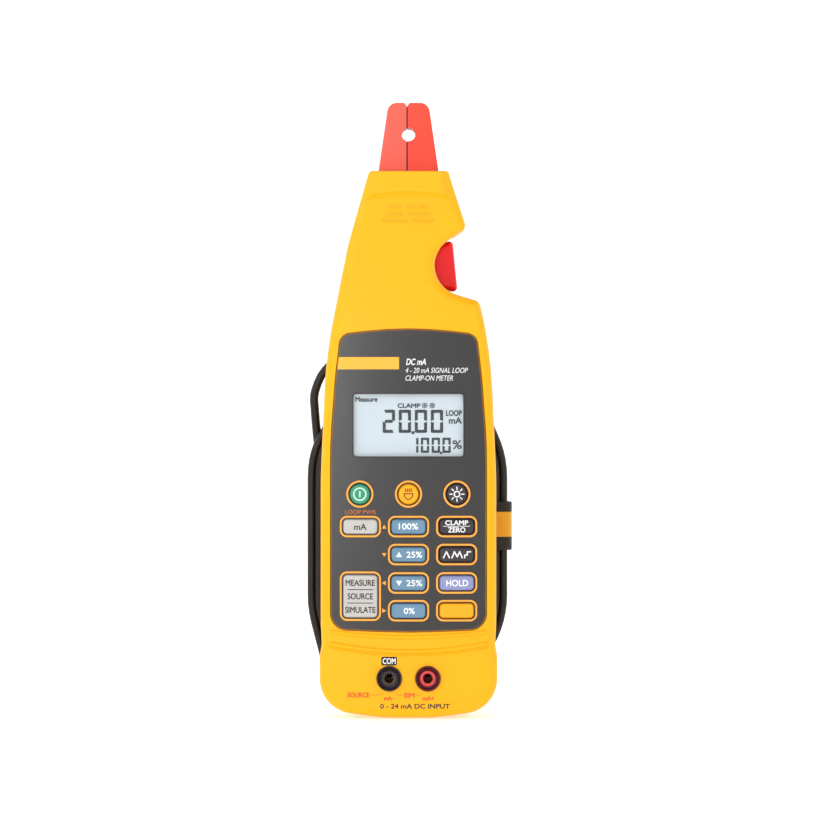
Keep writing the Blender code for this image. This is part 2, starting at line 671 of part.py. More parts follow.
def make_return_spring():
    """Compression spring between the lever and the rear shell's rib, lying along X."""
    turns, per_turn, radius = 6, 8, 2.6
    start, end, level = -7.6, 3.8, 181.0
    points = []
    for k in range(turns * per_turn + 1):
        angle = 2.0 * math.pi * k / per_turn
        x = start + (end - start) * k / (turns * per_turn)
        points.append((x, radius * math.cos(angle), level + radius * math.sin(angle)))
    curve_tube("return_spring", points, 0.3, 1, "steel")


def make_head_pieces():
    place("sensor_board", box(-18.0, -11.0, -7.6, -6.0, 168.0, 200.0), "board_green")
    place("spotlight_lens", upright_cylinder(0.0, -11.2, 1.7, 216.4, 220.4, 12), "lens_clear")


def smooth_route(route, steps=3):
    """Points on a Catmull-Rom curve through the route's points."""
    points = [Vector(point) for point in route]
    padded = [2 * points[0] - points[1], *points, 2 * points[-1] - points[-2]]
    found = []
    for a, b, c, d in zip(padded, padded[1:], padded[2:], padded[3:]):
        for k in range(steps):
            t = k / steps
            bend = (2 * a - 5 * b + 4 * c - d) * t * t + (3 * b - a - 3 * c + d) * t * t * t
            found.append(0.5 * (2 * b + (c - a) * t + bend))
    return [*found, points[-1]]


def make_lead():
    outer = outline_of(stadium(COIL_CENTRE_X, COIL_OUTER), 10.0)
    inner = COIL_OUTER - COIL_INNER
    rim = 1.5
    section = [(0.0, COIL_FRONT + rim), (rim, COIL_FRONT), (inner - rim, COIL_FRONT), (inner, COIL_FRONT + rim)]
    section += [(inner, COIL_REAR - rim), (inner - rim, COIL_REAR), (rim, COIL_REAR), (0.0, COIL_REAR - rim)]
    rings = [[Vector((p.x, y, p.y)) for p in outer(inset)] for inset, y in section]
    place("lead_coil", lofted(rings, closed=True), "cord_black")
    curve_tube("lead_head_end", smooth_route(HEAD_END_ROUTE), LEAD_RADIUS, 2, "cord_black")
    curve_tube("lead_meter_end", smooth_route(METER_END_ROUTE), LEAD_RADIUS, 2, "cord_black")
    for name, x in LEAD_PORTS.items():
        top = HEAD_STEP - GAP
        radii = [(2.9, top), (2.9, top - 1.2), (2.5, top - 2.0), (2.1, top - BOOT_LENGTH)]
        rings = []
        for radius, z in radii:
            turned = circle(x, PORT_Y, radius, 12)()
            rings.append([Vector((p.x, p.y, z)) for p in turned])
        place(f"strain_relief_{name}", lofted(rings), "cord_black")


def make_strap():
    """A flat band in a C round the winding, its two legs held in the slots of the hub."""
    front = COIL_FRONT - GAP - STRAP_THICKNESS
    rear = COIL_REAR + GAP
    strap = place("strap", box(31.4, STRAP_OUTER, front, rear + STRAP_THICKNESS, STRAP_LOW, STRAP_HIGH), "strap_black")
    inside = STRAP_OUTER - STRAP_THICKNESS
    cut(strap, box(30.0, inside, front + STRAP_THICKNESS, rear, STRAP_LOW - 2.0, STRAP_HIGH + 2.0))


def main():
    for item in list(bpy.data.objects):
        bpy.data.objects.remove(item)
    meter = bpy.data.objects.new("meter", None)
    bpy.context.scene.collection.objects.link(meter)
    meter.location = (0.0, -HUB_REAR * MM, -MOUNT_Z * MM)
    make_materials()
    make_front_shell()
    make_rear_shell()
    make_battery_door()
    make_screws()
    make_bezel()
    make_display()
    make_keys()
    make_jacks()
    make_batteries()
    make_jaws()
    make_trigger()
    make_return_spring()
    make_head_pieces()
    make_lead()
    make_strap()


main()
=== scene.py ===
"""Looks of the handheld milliamp clamp meter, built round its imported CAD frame.

Case coordinates, used by every shape here, are in millimetres: X to the right of the display, Y from
the front face to the back, Z up along the meter. x = 0 is the centre line, y = 0 the parting plane of
the two shells and z = 0 the bottom of the case. world() turns them into the frame's metres.
"""

import math

import bmesh
import bpy
from mathutils import Matrix, Vector

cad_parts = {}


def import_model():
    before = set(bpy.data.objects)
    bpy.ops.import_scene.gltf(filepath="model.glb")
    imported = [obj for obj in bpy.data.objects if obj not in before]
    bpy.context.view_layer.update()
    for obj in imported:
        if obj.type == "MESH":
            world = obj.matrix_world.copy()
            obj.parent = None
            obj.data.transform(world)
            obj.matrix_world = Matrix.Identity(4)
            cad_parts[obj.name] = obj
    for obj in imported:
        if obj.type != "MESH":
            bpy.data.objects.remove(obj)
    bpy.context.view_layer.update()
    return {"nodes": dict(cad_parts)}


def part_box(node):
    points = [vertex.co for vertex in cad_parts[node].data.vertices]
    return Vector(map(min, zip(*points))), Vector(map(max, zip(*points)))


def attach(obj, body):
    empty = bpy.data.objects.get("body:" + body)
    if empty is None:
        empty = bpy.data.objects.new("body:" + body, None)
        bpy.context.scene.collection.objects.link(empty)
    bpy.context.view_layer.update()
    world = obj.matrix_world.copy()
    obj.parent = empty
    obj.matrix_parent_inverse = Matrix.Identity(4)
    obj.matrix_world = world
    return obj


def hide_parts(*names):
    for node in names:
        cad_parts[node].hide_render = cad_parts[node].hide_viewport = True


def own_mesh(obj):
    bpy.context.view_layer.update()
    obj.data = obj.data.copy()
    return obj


MM = 0.001
GAP = 0.3
FINE = 4.0  # degrees of turn per facet on rounded corners
PRINT = 0.05  # how far printed marks stand off their surface
CROWN = 0.0011  # the front is a shallow arch across: its depth falls by this times x squared
CROWN_START = -8.0  # and it fades out between this depth and the next
CROWN_FULL = -15.0

# Case
FRONT_DEPTH = 18.0
REAR_DEPTH = 8.0
WALL = 2.2
EDGE = 3.6
REAR_EDGE = 2.6
CAVITY_FRONT = 15.4
CAVITY_REAR = 5.8
COLLAR_TOP = 220.0
HEAD_STEP = 158.5
HEAD_REAR = 14.0

# Corners of the case outline as (x, z, corner radius), counter-clockwise seen from the front
BOTTOM_CORNERS = [(-10.0, 0.0, 60.0), (10.0, 0.0, 60.0)]
SIDE_CORNERS = [
    (35.7, 3.2, 14.0),
    (35.8, 24.0, 6.0),
    (34.9, 29.5, 6.0),
    (35.3, 38.0, 20.0),
    (35.3, 97.0, 200.0),
    (33.4, 140.0, 150.0),
    (31.0, 156.5, 60.0),
]
NOTCH_CORNERS = [(28.6, 167.2, 3.5), (-5.0, 177.4, 12.3), (23.3, 197.1, 2.5)]
COLLAR_CORNER = (15.9, COLLAR_TOP, 2.0)
LEFT_HEAD_CORNER = (-24.4, 190.0, 60.0)

# Front depth of the head, as (level, share of the full depth)
HEAD_FRONT = [(158.0, 1.0), (163.0, 0.995), (174.0, 0.96), (185.0, 0.91)]
HEAD_FRONT += [(196.0, 0.85), (207.0, 0.785), (220.0, 0.74)]

# Raised face of the collar: its outline's corners as (x, z), and the depths of its face and its foot
COLLAR_FACE = [(14.6, 210.1), (12.6, 219.3), (-11.9, 219.3), (-14.7, 210.1)]
COLLAR_FACE_Y = -16.0
COLLAR_FOOT_Y = -13.2
COLLAR_ARCH = 1.3

# Hub on the back that the lead is wound on
HUB_LOW = 47.4
HUB_HIGH = 96.3
HUB_RADIUS = 33.6
HUB_FLANGE_RADIUS = 35.3
HUB_REAR = 23.5
HUB_CAVITY_REAR = 20.4
HUB_CAVITY_RADIUS = 31.2
FLANGE_FRONT = 18.6

# Face plate, display and keys
PLATE_FRONT = 18.2
PLATE_BACK = 16.9
PLATE_CORNERS = [(31.5, 35.4, 7.0), (31.5, 110.0, 200.0), (29.6, 136.0, 150.0), (27.5, 154.2, 5.0)]
PLATE_BOTTOM = (0.0, 34.2, 300.0)
PLATE_TOP = (0.0, 157.2, 150.0)
PLATE_LEDGE = 3.0
WINDOW = (-22.5, 22.4, 104.6, 130.4)
PANEL_FRONT = 16.2
KEY_FRONT = 19.2
KEY_BACK = 15.6
KEY_FLANGE = 0.8
KEY_COLUMNS = (-19.3, 0.0, 19.3)
KEY_ROWS = (76.9, 65.7, 54.3, 43.2)
ROUND_ROW = 89.9
ROUND_KEY_RADIUS = 4.1
KEY_SIZE = (13.8, 5.9, 1.6)
MODE_KEY_Z = 49.0
MODE_KEY_HEIGHT = 17.1

# Jacks
JACK_X = 7.75
JACK_Z = 16.0

# Jaws, lever and trigger
PIVOT_X = 5.0
PIVOT_Z = 212.0
PIN_RADIUS = 1.5
PIN_CLEARANCE = 0.06
SPLIT_X = -0.6
JAW_GAP = 0.25
JAW_TOP = 248.0
JAW_DEPTH = 6.5
JAW_TIP_SHARE = 0.8
HOLE_Z = 235.2
HOLE_RADIUS = 2.8
CORE_INNER = 4.2
CORE_OUTER = 6.6
CORE_DEPTH = 2.9

# Lead, wound on the hub
LEAD_RADIUS = 1.75
COIL_CENTRE_X = -0.45
TURNS = [(36.1, 15.3), (36.1, 11.3), (39.3, 13.1)]  # radius and depth of each turn
SLACK = 5.0  # how far the last turn hangs out at its lower left
LEAVING_ANGLE = 25.0
PORT_Y = 11.3
LEAD_PORTS = {"head": -26.0, "meter": 8.0}
BOOT_LENGTH = 7.0
HEAD_END_ROUTE = [
    (-26.0, PORT_Y, 151.2),
    (-26.2, 11.4, 148.6),
    (-28.5, 11.6, 145.3),
    (-32.3, 12.0, 142.0),
    (-35.9, 12.2, 137.6),
    (-38.2, 12.8, 132.0),
    (-38.8, 13.2, 128.4),
    (-38.6, 13.3, 124.9),
    (-38.1, 14.5, 118.0),
    (-37.4, 15.2, 110.5),
    (-36.8, 15.3, 103.0),
]
METER_END_ROUTE = [
    (30.4, 12.2, 123.6),
    (24.2, 13.3, 133.9),
    (18.8, 13.2, 138.0),
    (14.0, 12.4, 141.2),
    (10.4, 11.8, 144.4),
    (8.3, 11.4, 148.0),
    (8.0, PORT_Y, 151.2),
]

# Strap round the right side of the winding: front, rear and outer faces, and its yellow middle
STRAP_FRONT = 8.3
STRAP_REAR = 18.3
STRAP_OUTER = 42.4
STRAP_INNER = 31.4
STRAP_THICKNESS = 0.9
STRAP_LEVELS = (66.3, 86.0)
STRAP_YELLOW = (71.7, 81.9)

# Batteries and screws
DOOR = (-30.4, 30.4, 42.0, 111.5)
DOOR_FRONT = 21.8
BOSS_RADIUS = 3.2
SCREW_HOLE_RADIUS = 1.7
SCREW_SEAT_RADIUS = 3.0
LAMP_Y = -11.2
DOOR_SCREWS = [(-20.0, 105.6), (20.0, 105.6)]
CASE_SCREWS = [
    (-16.0, 27.0, HUB_REAR),
    (16.0, 27.0, HUB_REAR),
    (-18.0, 164.5, HEAD_REAR),
    (18.0, 164.5, HEAD_REAR),
]

# Camera and stage, in metres
CAMERA_DISTANCE = 1.2
PICTURE_WIDTH = 0.3285  # what the picture shows across, at the case's front face
AIM = (0.6, 123.6)  # the point of the case at the middle of the picture, in millimetres
FLOOR_DROP = 0.0004
SENSOR_WIDTH = 36.0
STAGE_GLOW = 0.42
SURROUNDINGS_STRENGTH = 0.25

MATERIALS = {}
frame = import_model()
CASE_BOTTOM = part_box("front_shell")[0].z
CASE_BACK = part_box("battery_door")[1].y


def world(point):
    """A point in case millimetres as a point of the frame, in metres."""
    x, y, z = point
    return Vector((x * MM, CASE_BACK + (y - HUB_REAR) * MM, CASE_BOTTOM + z * MM))


def linked(name, data):
    """A new object of the data, in the scene."""
    made = bpy.data.objects.new(name, data)
    bpy.context.scene.collection.objects.link(made)
    return made


def smooth_share(value):
    """Rises gently from 0 to 1 as the value does."""
    value = min(max(value, 0.0), 1.0)
    return value * value * (3.0 - 2.0 * value)


# Materials


def srgb(value):
    share = value / 255.0
    return share / 12.92 if share <= 0.04045 else ((share + 0.055) / 1.055) ** 2.4


def linear(colour, scale=1.0):
    return [min(srgb(channel) * scale, 1.0) for channel in colour] + [1.0]


def new_material(name):
    made = bpy.data.materials.new(name)
    made.use_nodes = True
    MATERIALS[name] = made
    return made.node_tree, made.node_tree.nodes["Principled BSDF"]


def own_places(tree):
    """The object's own coordinates."""
    return tree.nodes.new("ShaderNodeTexCoord").outputs["Object"]


def noise(tree, scale, detail=3.0):
    """Noise over the object's own coordinates; scale is in cells per metre."""
    places = own_places(tree)
    texture = tree.nodes.new("ShaderNodeTexNoise")
    texture.inputs["Scale"].default_value = scale
    texture.inputs["Detail"].default_value = detail
    tree.links.new(places, texture.inputs["Vector"])
    return texture.outputs["Fac"]


def spread(tree, source, low, high, start=0.3, end=0.7):
    """The source's values from start to end, spread from low to high."""
    mapped = tree.nodes.new("ShaderNodeMapRange")
    for name, value in (("From Min", start), ("From Max", end), ("To Min", low), ("To Max", high)):
        mapped.inputs[name].default_value = value
    tree.links.new(source, mapped.inputs["Value"])
    return mapped.outputs["Result"]


def blended(tree, factor, first, second):
    """A colour between two, by a factor."""
    mix = tree.nodes.new("ShaderNodeMix")
    mix.data_type = "RGBA"
    mix.inputs["A"].default_value = first
    mix.inputs["B"].default_value = second
    tree.links.new(factor, mix.inputs["Factor"])
    return mix.outputs["Result"]


def bump(tree, shader, height, distance, strength=1.0):
    """Relief from a height between 0 and 1; distance is in metres."""
    relief = tree.nodes.new("ShaderNodeBump")
    relief.inputs["Distance"].default_value = distance
    relief.inputs["Strength"].default_value = strength
    tree.links.new(height, relief.inputs["Height"])
    tree.links.new(relief.outputs["Normal"], shader.inputs["Normal"])


def moulded(
    name, colour, roughness, mottle=0.03, grain=900.0, relief=0.00002, metallic=0.0, gloss=0.35, wear=0.05
):
    """Moulded plastic or metal: a faint cloudiness in colour and gloss over a fine grain."""
    tree, shader = new_material(name)
    clouds = noise(tree, 45.0)
    tone = spread(tree, clouds, 0.0, 1.0)
    shades = linear(colour, 1.0 - mottle), linear(colour, 1.0 + mottle)
    tree.links.new(blended(tree, tone, *shades), shader.inputs["Base Color"])
    worn = spread(tree, noise(tree, 300.0), roughness - wear, roughness + wear)
    tree.links.new(worn, shader.inputs["Roughness"])
    shader.inputs["Metallic"].default_value = metallic
    shader.inputs["Specular IOR Level"].default_value = gloss
    bump(tree, shader, noise(tree, grain, 4.0), relief, 0.5)


def woven(name, colour, pitch):
    """Webbing: ribs along the band crossed by finer threads, with fuzz on top."""
    tree, shader = new_material(name)
    places = own_places(tree)
    heights = []
    for direction, scale in (("Z", 1.0 / pitch), ("X", 0.6 / pitch), ("Y", 0.6 / pitch)):
        wave = tree.nodes.new("ShaderNodeTexWave")
        wave.bands_direction = direction
        wave.inputs["Scale"].default_value = scale / 2.0
        wave.inputs["Distortion"].default_value = 0.4
        tree.links.new(places, wave.inputs["Vector"])
        heights.append(wave.outputs["Fac"])
    total = heights[0]
    for height in heights[1:]:
        joined = tree.nodes.new("ShaderNodeMath")
        joined.operation = "MULTIPLY"
        tree.links.new(total, joined.inputs[0])
        tree.links.new(height, joined.inputs[1])
        total = joined.outputs[0]
    # The colour follows the weave's height, darker in its low parts: painted shade in the hollows between the
    # threads
    shades = linear(colour, 0.75), linear(colour, 1.25)
    mix = blended(tree, spread(tree, total, 0.0, 1.0, 0.0, 0.5), *shades)
    tree.links.new(mix, shader.inputs["Base Color"])
    shader.inputs["Roughness"].default_value = 0.85
    shader.inputs["Sheen Weight"].default_value = 0.3
    bump(tree, shader, total, 0.0002)


def cell_jacket():
    """A battery's printed sleeve: dark, with a copper band at its upper end."""
    tree, shader = new_material("cell_jacket")
    places = own_places(tree)
    parts = tree.nodes.new("ShaderNodeSeparateXYZ")
    tree.links.new(places, parts.inputs["Vector"])
    edge = world((0.0, 0.0, 84.0)).z
    band = spread(tree, parts.outputs["Z"], 0.0, 1.0, edge, edge + 0.0002)
    mix = blended(tree, band, linear((40, 42, 46)), linear((196, 122, 62)))
    tree.links.new(mix, shader.inputs["Base Color"])
    tree.links.new(spread(tree, noise(tree, 400.0), 0.28, 0.38), shader.inputs["Roughness"])
    bump(tree, shader, noise(tree, 700.0), 0.00001, 0.4)


def circuit_board():
    """Solder mask with copper runs showing through as slightly lighter lines."""
    tree, shader = new_material("board_green")
    places = own_places(tree)
    bricks = tree.nodes.new("ShaderNodeTexBrick")
    bricks.inputs["Scale"].default_value = 300.0
    bricks.inputs["Mortar Size"].default_value = 0.03
    turned = tree.nodes.new("ShaderNodeMapping")
    turned.inputs["Rotation"].default_value = (math.radians(90.0), 0.0, 0.0)
    tree.links.new(places, turned.inputs["Vector"])
    tree.links.new(turned.outputs["Vector"], bricks.inputs["Vector"])
    mix = blended(tree, bricks.outputs["Fac"], linear((22, 84, 48)), linear((70, 138, 84)))
    tree.links.new(mix, shader.inputs["Base Color"])
    tree.links.new(spread(tree, noise(tree, 500.0), 0.3, 0.45), shader.inputs["Roughness"])
    bump(tree, shader, bricks.outputs["Fac"], 0.00003, 0.6)


def clear_lens():
    """A thin clear window: almost no colour of its own, but the gloss of its surface."""
    tree, shader = new_material("lens_clear")
    mix = blended(tree, noise(tree, 60.0), linear((226, 234, 238)), linear((236, 242, 245)))
    tree.links.new(mix, shader.inputs["Base Color"])
    shader.inputs["Roughness"].default_value = 0.08
    shader.inputs["Alpha"].default_value = 0.03
    shader.inputs["IOR"].default_value = 1.45
    bump(tree, shader, noise(tree, 30.0), 0.00002, 0.1)


def make_materials():
    moulded("case_yellow", (253, 178, 6), 0.4, mottle=0.015, grain=1500.0, relief=0.000015, gloss=0.25)
    # A darker amber than the case: on the head's raised rows it is painted shade for their relief
    moulded("case_amber", (240, 164, 10), 0.45, mottle=0.02, gloss=0.25)
    moulded("bezel_grey", (42, 40, 39), 0.3, mottle=0.05, grain=1600.0, relief=0.00001, gloss=0.5, wear=0.01)
    moulded("plate_edge", (150, 92, 30), 0.5)
    moulded("badge_yellow", (250, 180, 56), 0.45, mottle=0.02)
    # The jaw halves are one red plastic: the lighter, pinker left red is painted light, the deeper right red
    # painted shade
    moulded("jaw_left_red", (236, 92, 76), 0.42, mottle=0.03, grain=1400.0)
    moulded("jaw_right_red", (236, 72, 52), 0.42, mottle=0.03, grain=1400.0)
    moulded("trigger_red", (222, 14, 22), 0.2, mottle=0.02, grain=700.0, relief=0.000006, gloss=0.3)
    moulded("jack_black", (34, 18, 22), 0.35)
    moulded("socket_black", (52, 40, 48), 0.35)
    moulded("jack_maroon", (78, 10, 16), 0.35)
    moulded("jack_red", (220, 60, 72), 0.35)
    moulded("key_grey", (192, 190, 186), 0.48, mottle=0.02)
    moulded("key_blue", (104, 140, 166), 0.48, mottle=0.03)
    moulded("key_dark", (56, 50, 54), 0.48, mottle=0.03)
    moulded("key_lavender", (140, 145, 190), 0.48, mottle=0.02)
    moulded("key_yellow", (252, 170, 14), 0.48, mottle=0.02)
    moulded("key_green", (60, 148, 112), 0.48, mottle=0.03)
    moulded("rubber_grey", (120, 120, 120), 0.75, mottle=0.06, relief=0.00004)
    moulded("tray_black", (36, 36, 38), 0.55)
    moulded("cord_black", (24, 17, 16), 0.42, mottle=0.12, grain=500.0, relief=0.00005)
    moulded("steel", (176, 178, 182), 0.3, metallic=1.0, grain=2200.0)
    moulded("core_steel", (120, 122, 126), 0.4, metallic=1.0, grain=1200.0)
    moulded("brass", (200, 162, 90), 0.28, metallic=1.0, grain=1500.0)
    moulded("display_glass", (197, 209, 216), 0.35, mottle=0.01, relief=0.000004)
    moulded("display_white", (232, 236, 238), 0.6, mottle=0.02)
    moulded("label_grey", (158, 160, 163), 0.55, mottle=0.03)
    moulded("ink_orange", (250, 170, 64), 0.5, mottle=0.03)
    moulded("ink_rust", (176, 98, 50), 0.5, mottle=0.03)
    moulded("ink_red", (226, 92, 30), 0.5, mottle=0.03)
    moulded("ink_white", (244, 245, 244), 0.5, mottle=0.01)
    moulded("ink_pale_green", (196, 240, 222), 0.5, mottle=0.02)
    moulded("ink_brown", (116, 60, 16), 0.5, mottle=0.02)
    moulded("ink_dark", (58, 44, 42), 0.5, mottle=0.03)
    moulded("ink_maroon", (66, 34, 20), 0.5, mottle=0.03)
    moulded("ink_display", (10, 16, 20), 0.4, mottle=0.03)
    woven("strap_black", (34, 33, 34), 0.0011)
    woven("strap_yellow", (246, 176, 34), 0.0011)
    cell_jacket()
    circuit_board()
    clear_lens()


# Outlines in the XZ plane


def offset_corners(corners, inset):
    """Corners of the outline moved inwards by inset, with their radii kept concentric."""
    moved = []
    for i, (x, z, radius) in enumerate(corners):
        here = Vector((x, z))
        before = (here - Vector(corners[i - 1][:2])).normalized()
        after = (Vector(corners[(i + 1) % len(corners)][:2]) - here).normalized()
        normals = Vector((-before.y, before.x)), Vector((-after.y, after.x))
        spot = here + (normals[0] + normals[1]) * inset / (1.0 + normals[0].dot(normals[1]))
        convex = before.x * after.y - before.y * after.x > 0.0
        moved.append((spot.x, spot.y, max(radius - inset if convex else radius + inset, 0.2)))
    return moved


def rounded(corners, step=FINE):
    """The outline's points, with an arc in each corner that has a radius."""
    points = []
    for i, (x, z, radius) in enumerate(corners):
        here = Vector((x, z))
        before = (here - Vector(corners[i - 1][:2])).normalized()
        after = (Vector(corners[(i + 1) % len(corners)][:2]) - here).normalized()
        if radius == 0.0:
            points.append(here)
            continue
        side = 1.0 if before.x * after.y - before.y * after.x > 0.0 else -1.0
        turn = before.angle(after)
        start = here - before * radius * math.tan(turn / 2.0)
        centre = start + Vector((-before.y, before.x)) * radius * side
        count = max(2, math.ceil(math.degrees(turn) / step))
        for k in range(count + 1):
            points.append(centre + Matrix.Rotation(side * turn * k / count, 2) @ (start - centre))
    return [point for i, point in enumerate(points) if (point - points[i - 1]).length > 1e-4]


def outline_of(corners, step=FINE):
    """A function that gives the rounded outline at any inset."""
    return lambda inset=0.0: rounded(offset_corners(corners, inset) if inset else corners, step)


def rectangle(x0, x1, z0, z1, radius=0.0):
    return [(x0, z0, radius), (x1, z0, radius), (x1, z1, radius), (x0, z1, radius)]


def centred_rectangle(x, z, width, height, radius):
    return rectangle(x - width / 2, x + width / 2, z - height / 2, z + height / 2, radius)


def mirrored(corners):
    return [(-x, z, radius) for x, z, radius in reversed(corners)]


def stadium(x, radius):
    return rectangle(x - radius, x + radius, HUB_LOW - radius, HUB_HIGH + radius, radius)


def circle(x, z, radius, sides=64):
    return lambda inset=0.0: [
        Vector((x, z)) + Matrix.Rotation(2.0 * math.pi * k / sides, 2) @ Vector((radius - inset, 0.0))
        for k in range(sides)
    ]


def case_corners():
    head = [*NOTCH_CORNERS, COLLAR_CORNER, (-COLLAR_CORNER[0], *COLLAR_CORNER[1:]), LEFT_HEAD_CORNER]
    return [*BOTTOM_CORNERS, *SIDE_CORNERS, *head, *mirrored(SIDE_CORNERS)]


def plate_corners():
    return [PLATE_BOTTOM, *PLATE_CORNERS, PLATE_TOP, *mirrored(PLATE_CORNERS)]


# Solids, as bmesh objects in case millimetres


def lofted(rings, closed=False):
    """A solid through rings of equal length: capped at both ends, or closed into a ring itself."""
    solid = bmesh.new()
    layers = [[solid.verts.new(point) for point in ring] for ring in rings]
    pairs = list(zip(layers, layers[1:]))
    if closed:
        pairs.append((layers[-1], layers[0]))
    else:
        solid.faces.new(layers[0])
        solid.faces.new(layers[-1])
    for lower, upper in pairs:
        for i in range(len(lower)):
            j = (i + 1) % len(lower)
            solid.faces.new((lower[i], lower[j], upper[j], upper[i]))
    bmesh.ops.recalc_face_normals(solid, faces=solid.faces)
    if solid.calc_volume(signed=True) < 0.0:
        bmesh.ops.reverse_faces(solid, faces=solid.faces)
    return solid


def quarter(depth, facets):
    """Steps round a quarter circle, as (distance in, inset)."""
    turns = [math.radians(90.0 * k / facets) for k in range(facets + 1)]
    return [(depth * (1.0 - math.cos(t)), depth * (1.0 - math.sin(t))) for t in turns]


def rings_at(outline, levels):
    """The outline at each (depth, inset), as rings for lofted()."""
    return [[Vector((p.x, depth, p.y)) for p in outline(inset)] for depth, inset in levels]


def prism(outline, front, rear, front_edge=0.0, rear_edge=0.0, facets=6):
    """An outline extruded from y = front to y = rear, with its front or rear edge rounded."""
    levels = [(front, 0.0)]
    if front_edge:
        levels = [(front + down, inset) for down, inset in quarter(front_edge, facets)]
    if rear_edge:
        levels += [(rear - down, inset) for down, inset in reversed(quarter(rear_edge, facets))]
    else:
        levels.append((rear, 0.0))
    return lofted(rings_at(outline, levels))


def box(x0, x1, y0, y1, z0, z1):
    return prism(outline_of(rectangle(x0, x1, z0, z1)), y0, y1)


def cylinder(x, z, radius, front, rear, sides=48):
    return prism(circle(x, z, radius, sides), front, rear)


def upright_lathe(x, y, profile, sides=48):
    """A profile of (radius, z) turned about the upright line through (x, y)."""
    rings = []
    for radius, z in profile:
        turned = circle(x, y, radius, sides)()
        rings.append([Vector((p.x, p.y, z)) for p in turned])
    return lofted(rings)


def lathe(x, z, profile, sides=64, closed=False):
    """A profile of (radius, y) turned about the line through (x, z) along Y."""
    rings = []
    for radius, y in profile:
        turned = circle(x, z, radius, sides)()
        rings.append([Vector((p.x, y, p.y)) for p in turned])
    return lofted(rings, closed)


def share_at(profile, level):
    if level <= profile[0][0]:
        return profile[0][1]
    for (low, first), (high, second) in zip(profile, profile[1:]):
        if level <= high:
            return first + (second - first) * (level - low) / (high - low)
    return profile[-1][1]


def sliced(solid, levels, across=False):
    """Adds a row of edges at each level, or at each x, so that the solid can bend there."""
    normal = Vector((1, 0, 0)) if across else Vector((0, 0, 1))
    for level in levels:
        everything = [*solid.verts, *solid.edges, *solid.faces]
        bmesh.ops.bisect_plane(solid, geom=everything, dist=1e-5, plane_co=normal * level, plane_no=normal)
    return solid


def follow_depth(solid, profile):
    """Scales the solid's depth by the share that the profile gives at each level."""
    sliced(solid, [level for level, _ in profile])
    for vertex in solid.verts:
        vertex.co.y *= share_at(profile, vertex.co.z)
    return solid


def above(solid, level):
    """The part of the solid above a level, closed again with a flat face."""
    everything = [*solid.verts, *solid.edges, *solid.faces]
    cut_edges = bmesh.ops.bisect_plane(
        solid, geom=everything, dist=1e-5, plane_co=(0, 0, level), plane_no=(0, 0, 1), clear_inner=True
    )["geom_cut"]
    edges = [item for item in cut_edges if isinstance(item, bmesh.types.BMEdge)]
    bmesh.ops.contextual_create(solid, geom=edges)
    bmesh.ops.recalc_face_normals(solid, faces=solid.faces)
    return solid


def tube(points, radius, sides=12):
    """A round tube along points in case millimetres, capped at both ends."""
    rings = []
    across = None
    for i, point in enumerate(points):
        ahead = (points[min(i + 1, len(points) - 1)] - points[max(i - 1, 0)]).normalized()
        if across is None:
            across = ahead.orthogonal().normalized()
        across = (across - ahead * across.dot(ahead)).normalized()
        beside = ahead.cross(across)
        turns = [2.0 * math.pi * k / sides for k in range(sides)]
        rings.append([point + (across * math.cos(t) + beside * math.sin(t)) * radius for t in turns])
    return lofted(rings)


def merged(solids):
    """One solid made of several."""
    whole = bmesh.new()
    for solid in solids:
        mesh = bpy.data.meshes.new("part")
        solid.to_mesh(mesh)
        solid.free()
        whole.from_mesh(mesh)
        bpy.data.meshes.remove(mesh)
    return whole


# Pieces


def stand(name, solid, finishes=()):
    """An object made of a solid, in the frame's metres."""
    mesh = bpy.data.meshes.new(name)
    for vertex in solid.verts:
        vertex.co = world(vertex.co)
    solid.to_mesh(mesh)
    solid.free()
    piece = linked(name, mesh)
    for finish in finishes:
        mesh.materials.append(MATERIALS[finish])
    return piece


def combine(piece, solid, operation):
    """Applies a Boolean with another solid to the piece."""
    helper = stand("helper", solid)
    modifier = piece.modifiers.new(operation, "BOOLEAN")
    modifier.operation = operation
    modifier.solver = "EXACT"
    modifier.object = helper
    before = piece.data
    piece.data = bpy.data.meshes.new_from_object(piece.evaluated_get(bpy.context.evaluated_depsgraph_get()))
    piece.modifiers.clear()
    bpy.data.meshes.remove(before)
    bpy.data.meshes.remove(helper.data)


def add(piece, *solids):
    combine(piece, merged(solids), "UNION")


def cut(piece, *solids):
    combine(piece, merged(solids), "DIFFERENCE")


def crown(piece, start=CROWN_START, full=CROWN_FULL):
    """Bends the piece's front into the shallow arch that the case, the plate and the keys share."""
    for vertex in piece.data.vertices:
        depth = (vertex.co.y - CASE_BACK) / MM + HUB_REAR
        share = min(max((start - depth) / (start - full), 0.0), 1.0)
        vertex.co.y += share * CROWN * (vertex.co.x / MM) ** 2 * MM
    return piece


def settle(piece, body, replaces=(), sharp=32.0):
    """Smooths the finished piece, ties it to its body, and hides the CAD nodes that it stands for."""
    piece.data.shade_smooth()
    piece.data.set_sharp_from_angle(angle=math.radians(sharp))
    weighted = piece.modifiers.new("even_normals", "WEIGHTED_NORMAL")
    weighted.keep_sharp = True
    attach(piece, body)
    if replaces:
        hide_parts(*replaces)
    return piece


def print_on(name, body, finish, solids, arched=True):
    """Printed marks of one ink as one piece."""
    marks = merged(solids)
    if arched:
        marks = sliced(marks, [2.0 * k for k in range(-16, 17)], across=True)
    piece = stand(name, marks, [finish])
    if arched:
        crown(piece)
    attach(piece, body)
    return piece


# Printed marks, each a thin raised solid on a face at y


def polygon(points, y):
    return prism(lambda inset=0.0: [Vector(point) for point in points], y - PRINT, y + PRINT / 2)


def bar(x0, x1, z0, z1, y):
    return polygon([(x0, z0), (x1, z0), (x1, z1), (x0, z1)], y)


